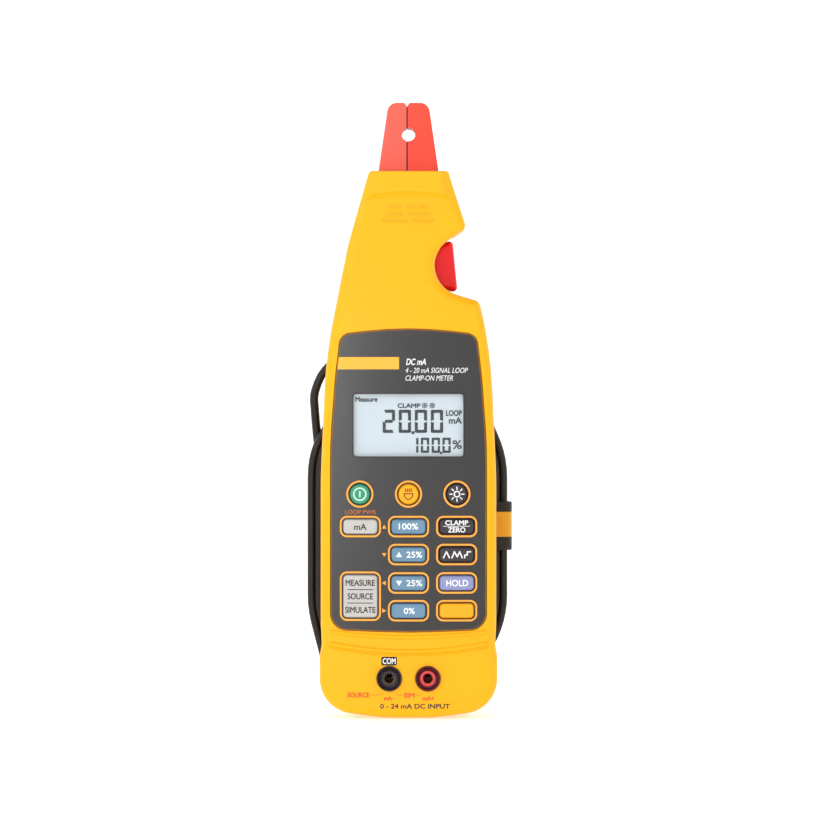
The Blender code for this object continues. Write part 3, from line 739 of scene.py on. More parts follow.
def stroke(points, width, y):
    """A line of even width through points, as one solid per stretch."""
    stretches = []
    for start, end in zip(points, points[1:]):
        start, end = Vector(start), Vector(end)
        along = (end - start).normalized()
        side = Vector((-along.y, along.x)) * width / 2.0
        tip = along * width * 0.3
        corners = [start - side - tip, end - side + tip, end + side + tip, start + side - tip]
        stretches.append(polygon(corners, y))
    return stretches


def band(outline, outer, inner, y):
    """A printed band along an outline, from one inset to another."""
    levels = [(y - PRINT, outer), (y + PRINT / 2, outer), (y + PRINT / 2, inner), (y - PRINT, inner)]
    return lofted(rings_at(outline, levels), closed=True)


def letters(words, x, z, width, height, y, slant=0.0, bold=0.12):
    """The words as raised print fitted to a width and a height round (x, z), as solids.
    Bold lettering is the same outline struck a few times, a little to each side."""
    text = bpy.data.curves.new("words", "FONT")
    text.body = words
    text.extrude = 0.5
    text.shear = slant
    text.resolution_u = 4
    typed = linked("words", text)
    mesh = bpy.data.meshes.new_from_object(typed.evaluated_get(bpy.context.evaluated_depsgraph_get()))
    bpy.data.objects.remove(typed)
    bpy.data.curves.remove(text)
    across = [vertex.co.x for vertex in mesh.vertices]
    up = [vertex.co.y for vertex in mesh.vertices]
    middle = Vector(((min(across) + max(across)) / 2.0, (min(up) + max(up)) / 2.0))
    strikes = [(-0.5, -0.25), (0.5, 0.25), (-0.25, 0.5), (0.25, -0.5)] if bold else [(0.0, 0.0)]
    wide, tall = max(across) - min(across), max(up) - min(up)
    scale = Vector(((width - bold) / wide, (height - bold) / tall))
    solids = []
    for number, (right, rise) in enumerate(strikes):
        solid = bmesh.new()
        solid.from_mesh(mesh)
        front = y - PRINT - 0.002 * number
        for vertex in solid.verts:
            place_x = x + right * bold + (vertex.co.x - middle.x) * scale.x
            place_z = z + rise * bold + (vertex.co.y - middle.y) * scale.y
            vertex.co = Vector((place_x, front if vertex.co.z > 0.0 else y + PRINT / 2.0, place_z))
        bmesh.ops.recalc_face_normals(solid, faces=solid.faces)
        solids.append(solid)
    bpy.data.meshes.remove(mesh)
    return solids


SEGMENTS = {"0": "abcdef", "1": "bc", "2": "abdeg"}

# Words on the display as (text, x, z, width, height)
DISPLAY_WORDS = [
    ("%", 19.5, 109.7, 3.8, 3.6),
    ("mA", 18.75, 119.4, 5.2, 2.7),
    ("LOOP", 18.2, 122.35, 6.4, 2.4),
    ("CLAMP", 0.15, 125.35, 9.2, 1.9),
    ("Measure", -16.9, 127.9, 9.0, 2.1),
]


def digit(figure, x, z, width, height, thick, y):
    """A seven-segment figure with its lower left corner at (x, z)."""
    half = height / 2.0
    notch = thick * 0.4
    sides = {"b": (width, -thick, half), "c": (width, -thick, 0.0)}
    sides |= {"e": (0.0, thick, 0.0), "f": (0.0, thick, half)}
    levels = {"a": (height, -thick), "d": (0.0, thick)}
    solids = []
    for name in SEGMENTS[figure]:
        if name in sides:
            edge, inward, base = sides[name]
            low_cut, high_cut = (0.3 * notch, notch) if base == 0.0 else (notch, 0.3 * notch)
            points = [(edge, base + 0.3 * notch), (edge, base + half - 0.3 * notch)]
            points += [(edge + inward, base + half - high_cut), (edge + inward, base + low_cut)]
        elif name in levels:
            level, inward = levels[name]
            points = [(0.4 * thick, level), (width - 0.4 * thick, level)]
            points += [(width - 0.9 * thick, level + inward), (0.9 * thick, level + inward)]
        else:
            points = [(0.5 * thick, half), (thick, half + thick / 2), (width - thick, half + thick / 2)]
            points += [(width - 0.5 * thick, half), (width - thick, half - thick / 2)]
            points.append((thick, half - thick / 2))
        solids.append(polygon([(x + px, z + pz) for px, pz in points], y))
    return solids


# The lead: one line from the clamp head's port, round the hub and back to the meter's port


def smooth_route(route, steps):
    """Points on a Catmull-Rom curve through the route's points."""
    points = [Vector(point) for point in route]
    padded = [2 * points[0] - points[1], *points, 2 * points[-1] - points[-2]]
    found = []
    for a, b, c, d in zip(padded, padded[1:], padded[2:], padded[3:]):
        for k in range(steps):
            t = k / steps
            bend = (2 * a - 5 * b + 4 * c - d) * t * t + (3 * b - a - 3 * c + d) * t * t * t
            found.append(0.5 * (2 * b + (c - a) * t + bend))
    return [*found, points[-1]]


def winding():
    """Points of the turns on the hub, from the top of its left side down and round."""
    stops = [(180.0, HUB_HIGH + (HUB_LOW - HUB_HIGH) * k / 8) for k in range(8)]
    stops += [(180.0 + 5.0 * k, HUB_LOW) for k in range(36)]
    stops += [(360.0, HUB_LOW + (HUB_HIGH - HUB_LOW) * k / 8) for k in range(8)]
    stops += [(360.0 + 5.0 * k, HUB_HIGH) for k in range(36)]
    points = []
    for number, (radius, depth) in enumerate(TURNS):
        last = number == len(TURNS) - 1
        next_radius, next_depth = TURNS[-1] if last else TURNS[number + 1]
        for angle, level in stops:
            if last and angle > 360.0 + LEAVING_ANGLE:
                break
            moved = smooth_share((angle - 455.0) / 75.0)
            reach = radius + (next_radius - radius) * moved
            if last:
                reach += SLACK * math.exp(-(((angle - 228.0) / 17.0) ** 2))
            turn = math.radians(angle)
            x = COIL_CENTRE_X + reach * math.cos(turn)
            points.append(Vector((x, depth + (next_depth - depth) * moved, level + reach * math.sin(turn))))
    return points


def make_lead():
    coil = winding()
    first = smooth_route([*HEAD_END_ROUTE, coil[0]], 2)
    last = smooth_route([coil[-1], *METER_END_ROUTE], 3)
    route = [*first, *coil[1:-1], *last]
    curve = bpy.data.curves.new("lead", "CURVE")
    curve.dimensions = "3D"
    curve.bevel_depth = LEAD_RADIUS * MM
    curve.bevel_resolution = 6
    curve.use_fill_caps = True
    spline = curve.splines.new("POLY")
    spline.points.add(len(route) - 1)
    for point, place in zip(spline.points, route):
        point.co = (*world(place), 1.0)
    spline.use_smooth = True
    curve.materials.append(MATERIALS["cord_black"])
    lead = linked("lead", curve)
    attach(lead, "case")
    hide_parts("lead_coil", "lead_head_end", "lead_meter_end")
    boots = [make_boot(name, x) for name, x in LEAD_PORTS.items()]


def make_boot(name, x):
    """A tapered strain relief with a collar and three ribs."""
    top = HEAD_STEP - GAP
    profile = [(2.7, top), (2.9, top - 0.2), (2.9, top - 1.3), (2.6, top - 1.6)]
    for k in range(3):
        level = top - 2.2 - 1.4 * k
        radius = 2.55 - 0.12 * k
        profile += [(radius, level), (radius, level - 0.7)]
        profile += [(radius - 0.3, level - 0.9), (radius - 0.3, level - 1.2)]
    profile += [(2.15, top - BOOT_LENGTH + 0.3), (1.95, top - BOOT_LENGTH)]
    boot = stand(f"boot_{name}", upright_lathe(x, PORT_Y, profile), ["cord_black"])
    return settle(boot, "case", [f"strain_relief_{name}"])


def make_strap():
    """Flat webbing in a C round the winding, black with a yellow middle."""
    middle = STRAP_THICKNESS / 2.0
    front, rear, outer = STRAP_FRONT + middle, STRAP_REAR - middle, STRAP_OUTER - middle
    corners = [(STRAP_INNER, front, 0.0), (outer, front, 2.2), (outer, rear, 2.2), (STRAP_INNER, rear, 0.0)]
    path = rounded(corners, 10.0)
    normals = []
    for i, point in enumerate(path):
        ahead = (path[min(i + 1, len(path) - 1)] - path[max(i - 1, 0)]).normalized()
        normals.append(Vector((ahead.y, -ahead.x)))
    low, high = STRAP_LEVELS
    levels = [low, low + 0.15, low + 0.5]
    count = 24
    levels += [low + 0.5 + (high - low - 1.0) * k / count for k in range(1, count)]
    levels += [high - 0.5, high - 0.15, high, *STRAP_YELLOW]
    rings = []
    for level in sorted(levels):
        edge = min(level - low, high - level)
        half = middle * (0.55 + 0.45 * smooth_share(edge / 0.5))
        outside = [point + normal * half for point, normal in zip(path, normals)]
        inside = [point - normal * half for point, normal in zip(path, normals)]
        rings.append([Vector((p.x, p.y, level)) for p in [*outside, *reversed(inside)]])
    solid = lofted(rings)
    for face in solid.faces:
        level = face.calc_center_median().z
        face.material_index = 1 if STRAP_YELLOW[0] < level < STRAP_YELLOW[1] else 0
    strap = stand("webbing_strap", solid, ["strap_black", "strap_yellow"])
    settle(strap, "case", ["strap"], 50.0)


# Case


def arc_line(ends_z, middle_z, half_width, y, count=40):
    """Points of a shallow arc across the front, sagging from its ends to its middle."""
    points = []
    for k in range(count + 1):
        share = 2.0 * k / count - 1.0
        points.append(Vector((half_width * share, y, middle_z + (ends_z - middle_z) * share * share)))
    return points


def collar_pad():
    """The raised face of the collar, with sloping flanks and an arched lower edge."""
    (right, low), (right_top, high), (left_top, _), (left, _) = COLLAR_FACE
    count = 24
    rings = []
    steps = ((COLLAR_FOOT_Y, 3.0, 3.6), (COLLAR_FACE_Y + 0.25, 0.1, 0.25), (COLLAR_FACE_Y, 0.0, 0.0))
    for y, drop, spill in steps:
        ring = []
        for k in range(count + 1):
            share = k / count
            x = left - spill + (right - left + 2.0 * spill) * share
            arch = COLLAR_ARCH * (1.0 - (2.0 * share - 1.0) ** 2)
            ring.append(Vector((x, y, low + arch - drop)))
        ring += [Vector((right_top + spill, y, high)), Vector((left_top - spill, y, high))]
        rings.append(ring)
    return lofted(rings)


def head_openings():
    """The way out for the jaws at the top of the collar, and the window behind the trigger."""
    return [box(-13.7, 13.7, -7.0, 7.0, 214.0, 224.0), box(4.0, 20.4, -7.0, 7.0, 169.0, 193.8)]


def make_parting_lip():
    """A lip inside the two shells' parting line, so that no light passes between them."""
    section = [(-1.0, 1.0), (1.0, 1.0), (1.0, 1.9), (-1.0, 1.9)]
    rings = rings_at(outline_of(case_corners()), section)
    lip = stand("parting_lip", lofted(rings, closed=True), ["case_amber"])
    cut(lip, *head_openings())
    settle(lip, "case")


def make_front_case():
    levels = [160.0 + 2.0 * k for k in range(30)]
    outer = prism(outline_of(case_corners()), -FRONT_DEPTH, -GAP / 2, front_edge=EDGE, facets=10)
    outer = sliced(sliced(outer, levels), [3.0 * k for k in range(-11, 12)], across=True)
    shell = stand("front_case", follow_depth(outer, HEAD_FRONT), ["case_yellow"])
    add(shell, collar_pad())
    hollow = outline_of(offset_corners(case_corners(), WALL), 10.0)
    cut(shell, follow_depth(prism(hollow, -CAVITY_FRONT, 2.0, front_edge=1.5, facets=1), HEAD_FRONT))
    bosses = [cylinder(x, z, BOSS_RADIUS, -CAVITY_FRONT - 1.0, -GAP / 2, 24) for x, z, _ in CASE_SCREWS]
    pin_bosses = [cylinder(x, PIVOT_Z, 3.0, -12.8, -7.3, 24) for x in (-PIVOT_X, PIVOT_X)]
    add(shell, *bosses, *pin_bosses)
    cut(shell, prism(outline_of(plate_corners()), -FRONT_DEPTH - 3.0, -PLATE_BACK + GAP))
    ledge = outline_of(offset_corners(plate_corners(), PLATE_LEDGE), 10.0)
    through = (-FRONT_DEPTH - 2.0, -CAVITY_FRONT + 2.0)
    jack_holes = [cylinder(x, JACK_Z, 4.8, *through) for x in (-JACK_X, JACK_X)]
    cut(shell, prism(ledge, *through), *jack_holes)
    holes = [cylinder(x, z, SCREW_HOLE_RADIUS, -10.5, 2.0, 16) for x, z, _ in CASE_SCREWS]
    holes += [cylinder(x, PIVOT_Z, PIN_RADIUS + GAP, -11.8, -5.0, 24) for x in (-PIVOT_X, PIVOT_X)]
    cut(shell, *holes)
    lamp_hole = upright_lathe(0.0, LAMP_Y, [(2.0, 213.0), (2.0, 223.0)], 32)
    cut(shell, *head_openings(), lamp_hole)
    beads = [arc_line(34.6, 32.6, 31.0, -FRONT_DEPTH + 0.3), arc_line(29.9, 26.8, 31.5, -FRONT_DEPTH + 0.2)]
    add(shell, *[tube(line, 0.95, 20) for line in beads])
    cut(shell, tube(arc_line(28.6, 25.4, 32.0, -FRONT_DEPTH - 0.15), 0.5))
    settle(crown(shell), "case", ["front_shell"])


def make_rear_case():
    outer = prism(outline_of(case_corners()), GAP / 2, REAR_DEPTH, rear_edge=REAR_EDGE, facets=8)
    shell = stand("rear_case", outer, ["case_yellow"])
    raised = outline_of(offset_corners(case_corners(), 1.9))
    add(shell, above(prism(raised, REAR_DEPTH - 3.0, HEAD_REAR, rear_edge=3.0, facets=8), HEAD_STEP))
    add(shell, prism(outline_of(stadium(0.0, HUB_RADIUS)), REAR_DEPTH - 2.0, FLANGE_FRONT + 1.0))
    flange = outline_of(stadium(0.0, HUB_FLANGE_RADIUS))
    add(shell, prism(flange, FLANGE_FRONT, HUB_REAR, rear_edge=2.0, facets=8))
    cut(shell, prism(outline_of(offset_corners(case_corners(), WALL), 10.0), -2.0, CAVITY_REAR))
    cut(shell, prism(outline_of(stadium(0.0, HUB_CAVITY_RADIUS), 10.0), -2.5, HUB_CAVITY_REAR))
    inside_head = outline_of(offset_corners(case_corners(), 4.6), 10.0)
    cut(shell, above(prism(inside_head, -3.0, HEAD_REAR - 2.0), HEAD_STEP + 2.5))
    posts = [cylinder(x, z, BOSS_RADIUS, GAP / 2, rear - 1.0, 24) for x, z, rear in CASE_SCREWS]
    posts += [cylinder(x, z, 2.8, 10.0, DOOR_FRONT - 0.8, 24) for x, z in DOOR_SCREWS]
    posts += [cylinder(x, PIVOT_Z, 3.0, 7.3, HEAD_REAR - 1.0, 24) for x in (-PIVOT_X, PIVOT_X)]
    add(shell, *posts, box(-9.6, -8.3, -3.0, HEAD_REAR - 1.0, 177.0, 185.0))
    holes = [cylinder(x, z, 1.5, 12.0, HUB_REAR + 2.0, 16) for x, z in DOOR_SCREWS]
    holes += [cylinder(x, PIVOT_Z, PIN_RADIUS + GAP, 5.0, 11.3, 24) for x in (-PIVOT_X, PIVOT_X)]
    holes += [cylinder(x, z, SCREW_HOLE_RADIUS, -3.0, rear - 2.0, 16) for x, z, rear in CASE_SCREWS]
    cut(shell, *holes)
    cut(shell, *[cylinder(x, z, SCREW_SEAT_RADIUS, rear - 2.4, rear + 3.0, 32) for x, z, rear in CASE_SCREWS])
    door = outline_of(rectangle(DOOR[0] - GAP, DOOR[1] + GAP, DOOR[2] - GAP, DOOR[3] + GAP, 6.3))
    cut(shell, prism(door, DOOR_FRONT - GAP, HUB_REAR + 2.0))
    cut(shell, box(-28.6, 28.6, HUB_CAVITY_REAR - 3.0, HUB_REAR + 3.0, 44.6, 99.2))
    port = [(1.4, HEAD_STEP - 2.0), (1.4, HEAD_STEP + 5.0)]
    ports = [upright_lathe(x, PORT_Y, port, 24) for x in LEAD_PORTS.values()]
    cut(shell, *ports)
    low, high = STRAP_LEVELS[0] - 1.2, STRAP_LEVELS[1] + 1.2
    cut(shell, box(HUB_RADIUS + 0.2, HUB_RADIUS + 6.0, REAR_DEPTH + 0.5, HUB_REAR + 4.0, low, high))
    legs = (STRAP_FRONT, STRAP_REAR - STRAP_THICKNESS)
    slots = [box(30.0, 36.0, y - GAP, y + STRAP_THICKNESS + GAP, low + 0.9, high - 0.9) for y in legs]
    cut(shell, *slots)
    cut(shell, *head_openings())
    settle(shell, "case", ["rear_shell"])


def make_door():
    """The battery door, with a thumb ramp of ridges and a blank label recess."""
    panel = prism(outline_of(rectangle(*DOOR, 6.0)), DOOR_FRONT, HUB_REAR, rear_edge=0.5)
    door = stand("door", panel, ["case_yellow"])
    label = outline_of(centred_rectangle(0.0, 72.0, 44.0, 30.0, 2.0))
    screw_holes = [cylinder(x, z, 1.8, DOOR_FRONT - 1.0, HUB_REAR + 1.0, 24) for x, z in DOOR_SCREWS]
    cut(door, *screw_holes, prism(label, HUB_REAR - 0.35, HUB_REAR + 1.0))
    cut(door, *[cylinder(x, z, 2.9, HUB_REAR - 0.9, HUB_REAR + 2.0, 48) for x, z in DOOR_SCREWS])
    grooves = []
    for k in range(5):
        level = 96.0 + 2.0 * k
        ends = (-8.0 + 0.5 * k, 8.0 - 0.5 * k)
        grooves.append(tube([Vector((x, HUB_REAR + 0.1, level)) for x in ends], 0.55))
    cut(door, *grooves)
    settle(door, "case", ["battery_door"])
    plate = prism(outline_of(centred_rectangle(0.0, 72.0, 43.4, 29.4, 1.8)), HUB_REAR - 0.34, HUB_REAR - 0.2)
    settle(stand("label_blank", plate, ["label_grey"]), "case")


def make_screws():
    """Crosshead screws with domed heads."""
    spots = []
    for number, (x, z, rear) in enumerate(CASE_SCREWS, 1):
        spots.append((f"case_screw_{number}", x, z, 2.6, rear - 2.1, rear - 0.6, 1.3, -9.0))
    for number, (x, z) in enumerate(DOOR_SCREWS, 1):
        spots.append((f"door_screw_{number}", x, z, 2.5, HUB_REAR - 0.6, HUB_REAR - 0.05, 1.1, 13.0))
    for name, x, z, head, front, rear, shank, tip in spots:
        profile = [(0.4, tip), (shank, tip + 1.0), (shank, front), (head - 0.1, front), (head, front + 0.1)]
        profile += [(head, rear - 0.3), (head - 0.12, rear - 0.12)]
        profile += [(head - 0.4, rear - 0.02), (head - 0.9, rear)]
        screw = stand(name.replace("screw", "fastener"), lathe(x, z, profile, 48), ["steel"])
        for across, up in ((1.5, 0.3), (0.3, 1.5)):
            cut(screw, box(x - across, x + across, rear - 0.7, rear + 1.0, z - up, z + up))
        settle(screw, "case", [name])


# Face plate, display, keys


def key_table():
    """Name, centre, width, height, corner radius and finish of every key."""
    left, middle, right = KEY_COLUMNS
    across = 2.0 * ROUND_KEY_RADIUS
    disc = (across, across, ROUND_KEY_RADIUS)
    return [
        ("power", -19.5, ROUND_ROW, *disc, "key_green"),
        ("spotlight", 0.0, ROUND_ROW, *disc, "key_yellow"),
        ("backlight", 19.4, ROUND_ROW, *disc, "key_dark"),
        ("ma", left, KEY_ROWS[0], *KEY_SIZE, "key_grey"),
        ("percent_100", middle, KEY_ROWS[0], *KEY_SIZE, "key_blue"),
        ("clamp_zero", right, KEY_ROWS[0], *KEY_SIZE, "key_dark"),
        ("up_25", middle, KEY_ROWS[1], *KEY_SIZE, "key_blue"),
        ("step", right, KEY_ROWS[1], *KEY_SIZE, "key_dark"),
        ("down_25", middle, KEY_ROWS[2], *KEY_SIZE, "key_blue"),
        ("hold", right, KEY_ROWS[2], *KEY_SIZE, "key_lavender"),
        ("percent_0", middle, KEY_ROWS[3], *KEY_SIZE, "key_blue"),
        ("shift", right, KEY_ROWS[3], *KEY_SIZE, "key_yellow"),
        ("mode", left, MODE_KEY_Z, KEY_SIZE[0], MODE_KEY_HEIGHT, KEY_SIZE[2], "key_grey"),
    ]


def power_marks(x, z, y):
    return [band(circle(x, z, 2.7), 0.0, 0.55, y), bar(x - 0.28, x + 0.28, z - 1.2, z + 1.2, y)]


def spotlight_marks(x, z, y):
    """A lamp: a cup with four rays above it."""
    rays = [bar(x - 1.4 + 0.78 * k, x - 0.98 + 0.78 * k, z + 0.85, z + 2.3, y) for k in range(4)]
    side = [(x + 1.75, z + 0.2), (x + 1.6, z - 0.9), (x + 0.9, z - 1.8), (x, z - 2.1)]
    cup = [*side, *[(2.0 * x - right, level) for right, level in reversed(side)], side[0]]
    return [*rays, *stroke(cup, 0.42, y)]


def backlight_marks(x, z, y):
    """A sun with eight rays."""
    marks = [band(circle(x, z, 1.35), 0.0, 0.5, y)]
    for k in range(8):
        way = Vector((math.cos(math.radians(45.0 * k)), math.sin(math.radians(45.0 * k))))
        middle = Vector((x, z))
        marks += stroke([middle + way * 1.9, middle + way * 2.9], 0.42, y)
    return marks


def arrow_marks(x, z, y, up):
    """A triangle that points up or down."""
    way = 1 if up else -1
    corners = [(x - 1.2, z - 0.95 * way), (x + 1.2, z - 0.95 * way), (x, z + 1.15 * way)]
    return [polygon(corners[::way], y)]


def step_marks(x, z, y):
    """One peak, two peaks and a staircase."""
    peak = [(x - 5.3, z - 1.3), (x - 4.1, z + 1.2), (x - 2.9, z - 1.3)]
    peaks = [(x - 1.9, z - 1.3), (x - 0.9, z + 1.2), (x + 0.2, z - 0.9)]
    peaks += [(x + 1.2, z + 1.2), (x + 2.2, z - 1.3)]
    stairs = [(x + 3.2, z - 1.3), (x + 3.2, z - 0.2), (x + 4.2, z - 0.2)]
    stairs += [(x + 4.2, z + 1.1), (x + 5.6, z + 1.1)]
    return [*stroke(peak, 0.5, y), *stroke(peaks, 0.5, y), *stroke(stairs, 0.5, y)]


# Lettering on the keys: the ink, then each word as (text, x, z, width, height) from the key's middle
KEY_WORDS = {
    "ma": ("ink_dark", [("mA", 0.0, -0.1, 5.0, 2.5)]),
    "percent_100": ("ink_white", [("100%", 0.0, 0.1, 7.8, 2.5)]),
    "up_25": ("ink_white", [("25%", 2.3, 0.0, 6.3, 2.5)]),
    "down_25": ("ink_white", [("25%", 2.3, 0.0, 6.3, 2.5)]),
    "percent_0": ("ink_white", [("0%", 0.3, 0.0, 4.4, 2.5)]),
    "clamp_zero": ("ink_white", [("CLAMP", 0.0, 1.55, 9.2, 2.0), ("ZERO", 0.0, -1.3, 7.0, 2.1)]),
    "hold": ("ink_white", [("HOLD", 0.2, 0.0, 8.8, 2.6)]),
    "mode": (
        "ink_dark",
        [
            ("MEASURE", 0.0, 5.4, 11.8, 2.5),
            ("SOURCE", 0.0, 0.0, 10.2, 2.5),
            ("SIMULATE", 0.0, -5.4, 12.2, 2.5),
        ],
    ),
}


def legends(name, x, z, y):
    """The ink and the marks on a key's top."""
    ink, words = KEY_WORDS.get(name, ("ink_white", []))
    marks = []
    for text, right, rise, width, height in words:
        marks += letters(text, x + right, z + rise, width, height, y)
    if name == "power":
        return "ink_pale_green", power_marks(x, z, y)
    if name == "spotlight":
        return "ink_brown", spotlight_marks(x, z, y)
    if name == "backlight":
        marks += backlight_marks(x, z, y)
    if name in ("up_25", "down_25"):
        marks += arrow_marks(x - 3.8, z, y, name == "up_25")
    if name == "step":
        marks += step_marks(x, z, y)
    if name == "clamp_zero":
        marks.append(bar(x - 5.4, x + 5.4, z + 0.05, z + 0.25, y))
    if name == "mode":
        marks += [bar(x - 5.2, x + 5.2, z + rise - 0.16, z + rise + 0.16, y) for rise in (-2.7, 2.7)]
    return ink, marks


def make_keys():
    """Every key with its softly crowned top and its own printed marks."""
    for name, x, z, width, height, radius, finish in key_table():
        outline = outline_of(centred_rectangle(x, z, width, height, radius), 8.0)
        levels = [(-KEY_FRONT + down, 0.15 + inset) for down, inset in quarter(0.7, 5)]
        levels += [(-KEY_FRONT + 1.4, 0.0), (-PLATE_BACK + GAP, 0.0)]
        levels += [(-PLATE_BACK + GAP, -KEY_FLANGE), (-KEY_BACK, -KEY_FLANGE)]
        cap = lofted(rings_at(outline, levels))
        cap = sliced(cap, [x + 2.0 * k for k in range(-3, 4)], across=True)
        button = crown(stand(f"cap_{name}", cap, [finish]), start=-KEY_BACK - 0.05, full=-PLATE_BACK + GAP)
        settle(button, f"key_{name}_button", [f"key_{name}"], 50.0)
        ink, marks = legends(name, x, z, -KEY_FRONT)
        if marks:
            print_on(f"legend_{name}", f"key_{name}_button", ink, marks)


def make_plate():
    plate = outline_of(offset_corners(plate_corners(), GAP))
    solid = prism(plate, -PLATE_FRONT, -PLATE_BACK, front_edge=0.35, facets=4)
    solid = sliced(solid, [3.0 * k for k in range(-10, 11)], across=True)
    piece = stand("face_plate", solid, ["bezel_grey"])
    holes = [prism(outline_of(rectangle(*WINDOW, 1.5)), -PLATE_FRONT - 2.0, -PLATE_BACK + 2.0)]
    for _, x, z, width, height, radius, _ in key_table():
        hole = offset_corners(centred_rectangle(x, z, width, height, radius), -GAP)
        holes.append(prism(outline_of(hole, 8.0), -PLATE_FRONT - 2.0, -PLATE_BACK + 2.0))
    cut(piece, *holes)
    settle(crown(piece), "case", ["bezel"])
    rim = [band(outline_of(offset_corners(plate_corners(), 0.35)), 0.0, 0.35, -PLATE_FRONT)]
    print_on("plate_rim", "case", "plate_edge", rim)


def make_plate_print():
    y = -PLATE_FRONT
    rings = []
    lines = []
    for _, x, z, width, height, radius, _ in key_table():
        outline = outline_of(centred_rectangle(x, z, width, height, radius), 8.0)
        rings.append(band(outline, -1.35, -0.6, y))
        # The maroon band just round each key's hole is painted shade of the gap round the key; the thin
        # maroon line outside the orange ring is print
        lines += [band(outline, -0.6, -GAP - 0.02, y), band(outline, -1.55, -1.35, y)]
    print_on("print_key_rings", "case", "ink_orange", rings)
    print_on("key_gap_shade_and_ring_lines", "case", "ink_maroon", lines)
    pointers = []
    for row, ways in zip(KEY_ROWS, ("up", "down", "left", "right")):
        shapes = {
            "up": [(-10.6, row - 0.8), (-8.9, row - 0.8), (-9.75, row + 0.8)],
            "down": [(-10.6, row + 0.6), (-9.75, row - 0.9), (-8.9, row + 0.6)],
            "left": [(-10.7, row), (-9.1, row - 0.9), (-9.1, row + 0.9)],
            "right": [(-10.5, row - 0.9), (-8.9, row), (-10.5, row + 0.9)],
        }
        pointers.append(polygon(shapes[ways], y))
    print_on("print_pointers", "case", "ink_orange", pointers)
    print_on("print_loop", "case", "ink_rust", letters("LOOP PWR", -19.2, 82.7, 12.6, 1.7, y, bold=0.1))
    badge = [(-28.6, 139.9), (-3.8, 139.9), (-3.8, 144.8), (-28.2, 144.8)]
    print_on("print_badge", "case", "badge_yellow", [polygon(badge, y)])
    lines = letters("DC mA", 3.0, 142.9, 8.0, 2.6, y, slant=0.25)
    lines += letters("4 - 20 mA SIGNAL LOOP", 11.3, 139.5, 25.0, 2.1, y, slant=0.25, bold=0.0)
    lines += letters("CLAMP-ON METER", 8.3, 136.4, 19.0, 2.1, y, slant=0.25, bold=0.0)
    print_on("print_caption", "case", "ink_white", lines)


def make_display():
    """What the display shows, its clear window, and the dark line round that: the window's recess walls, made
    near-black as painted shade.
    """
    y = -PANEL_FRONT
    assign("display_panel", "display_glass")
    marks = []
    for k, figure in enumerate("2000"):
        marks += digit(figure, -10.35 + 6.43 * k, 114.4, 4.95, 9.3, 1.25, y)
    marks.append(bar(1.2, 2.4, 113.9, 115.1, y))
    for x, figure in zip((0.65, 4.95, 9.3, 13.6), "1000"):
        marks += digit(figure, x, 106.4, 3.35, 6.1, 0.95, y)
    marks.append(bar(12.6, 13.5, 105.9, 106.9, y))
    for text, x, z, width, height in DISPLAY_WORDS:
        marks += letters(text, x, z, width, height, y, bold=0.22)
    for x in (6.5, 9.55):
        marks.append(band(circle(x, 125.4, 1.1, 32), 0.0, 0.35, y))
        marks.append(cylinder(x, 125.4, 0.5, y - PRINT, y + PRINT / 2, 20))
    print_on("display_figures", "case", "ink_display", marks, arched=False)
    edge = outline_of(rectangle(*WINDOW, 1.5))
    top = -PLATE_FRONT - PRINT
    frame_walls = lofted(rings_at(edge, [(top, 0.0), (y, 0.0), (y, 0.4), (top, 0.4)]), closed=True)
    # The recess walls are real, but their near-black is painted shade for the window's recess
    shade_walls = stand("window_shade_walls", sliced(frame_walls, range(-21, 22, 3), across=True), ["jack_black"])
    settle(crown(shade_walls), "case")

    def pane_edge(inset=0.0):
        return edge(inset + GAP)

    pane = prism(pane_edge, -PLATE_FRONT + 0.35, -PLATE_BACK - 0.1, front_edge=0.15, facets=2)
    window = stand("window_pane", sliced(pane, range(-21, 22, 3), across=True), ["lens_clear"])
    settle(crown(window), "case", ["display_lens"])


# Jacks


def make_jacks():
    colours = {"com": (-JACK_X, "jack_black", "socket_black"), "plus": (JACK_X, "jack_maroon", "jack_red")}
    flange = [(4.5, -2.0), (4.5, -18.1), (5.1, -18.1), (5.1, -18.8), (4.95, -19.0), (4.5, -19.0)]
    flange += [(4.1, -18.6), (3.8, -17.9), (3.25, -17.8), (3.25, -2.0)]
    core = [(1.0, -2.0), (3.2, -2.0), (3.2, -18.3), (3.05, -18.55), (2.3, -18.55), (2.1, -18.4)]
    core += [(2.1, -17.5), (2.7, -17.4), (2.7, -3.0), (1.0, -3.0)]
    contact = [(2.5, -17.0), (2.5, -3.4), (2.0, -3.4), (2.0, -17.0)]
    for name, (x, outer, inner) in colours.items():
        shell = stand(f"socket_{name}", lathe(x, JACK_Z, flange, closed=True), [outer])
        settle(shell, "case", [f"jack_{name}"])
        settle(stand(f"socket_insert_{name}", lathe(x, JACK_Z, core, closed=True), [inner]), "case")
        tube_piece = stand(f"socket_contact_{name}", lathe(x, JACK_Z, contact, closed=True), ["brass"])
        settle(tube_piece, "case", [f"contact_{name}"])


JACK_WORDS = [
    ("SOURCE", -20.1, 9.4, 8.8, 2.1),
    ("mA", -8.2, 8.1, 3.2, 1.8),
    ("SIM", 0.3, 9.3, 4.4, 2.1),
    ("mA+", 7.9, 8.1, 4.6, 1.9),
]
JACK_LINES = [
    [(-15.2, 9.4), (-11.8, 9.4), (-10.8, 10.1)],
    [(-5.0, 10.1), (-4.2, 9.3), (-2.4, 9.3)],
    [(3.0, 9.3), (4.2, 9.3), (5.0, 10.1)],
]


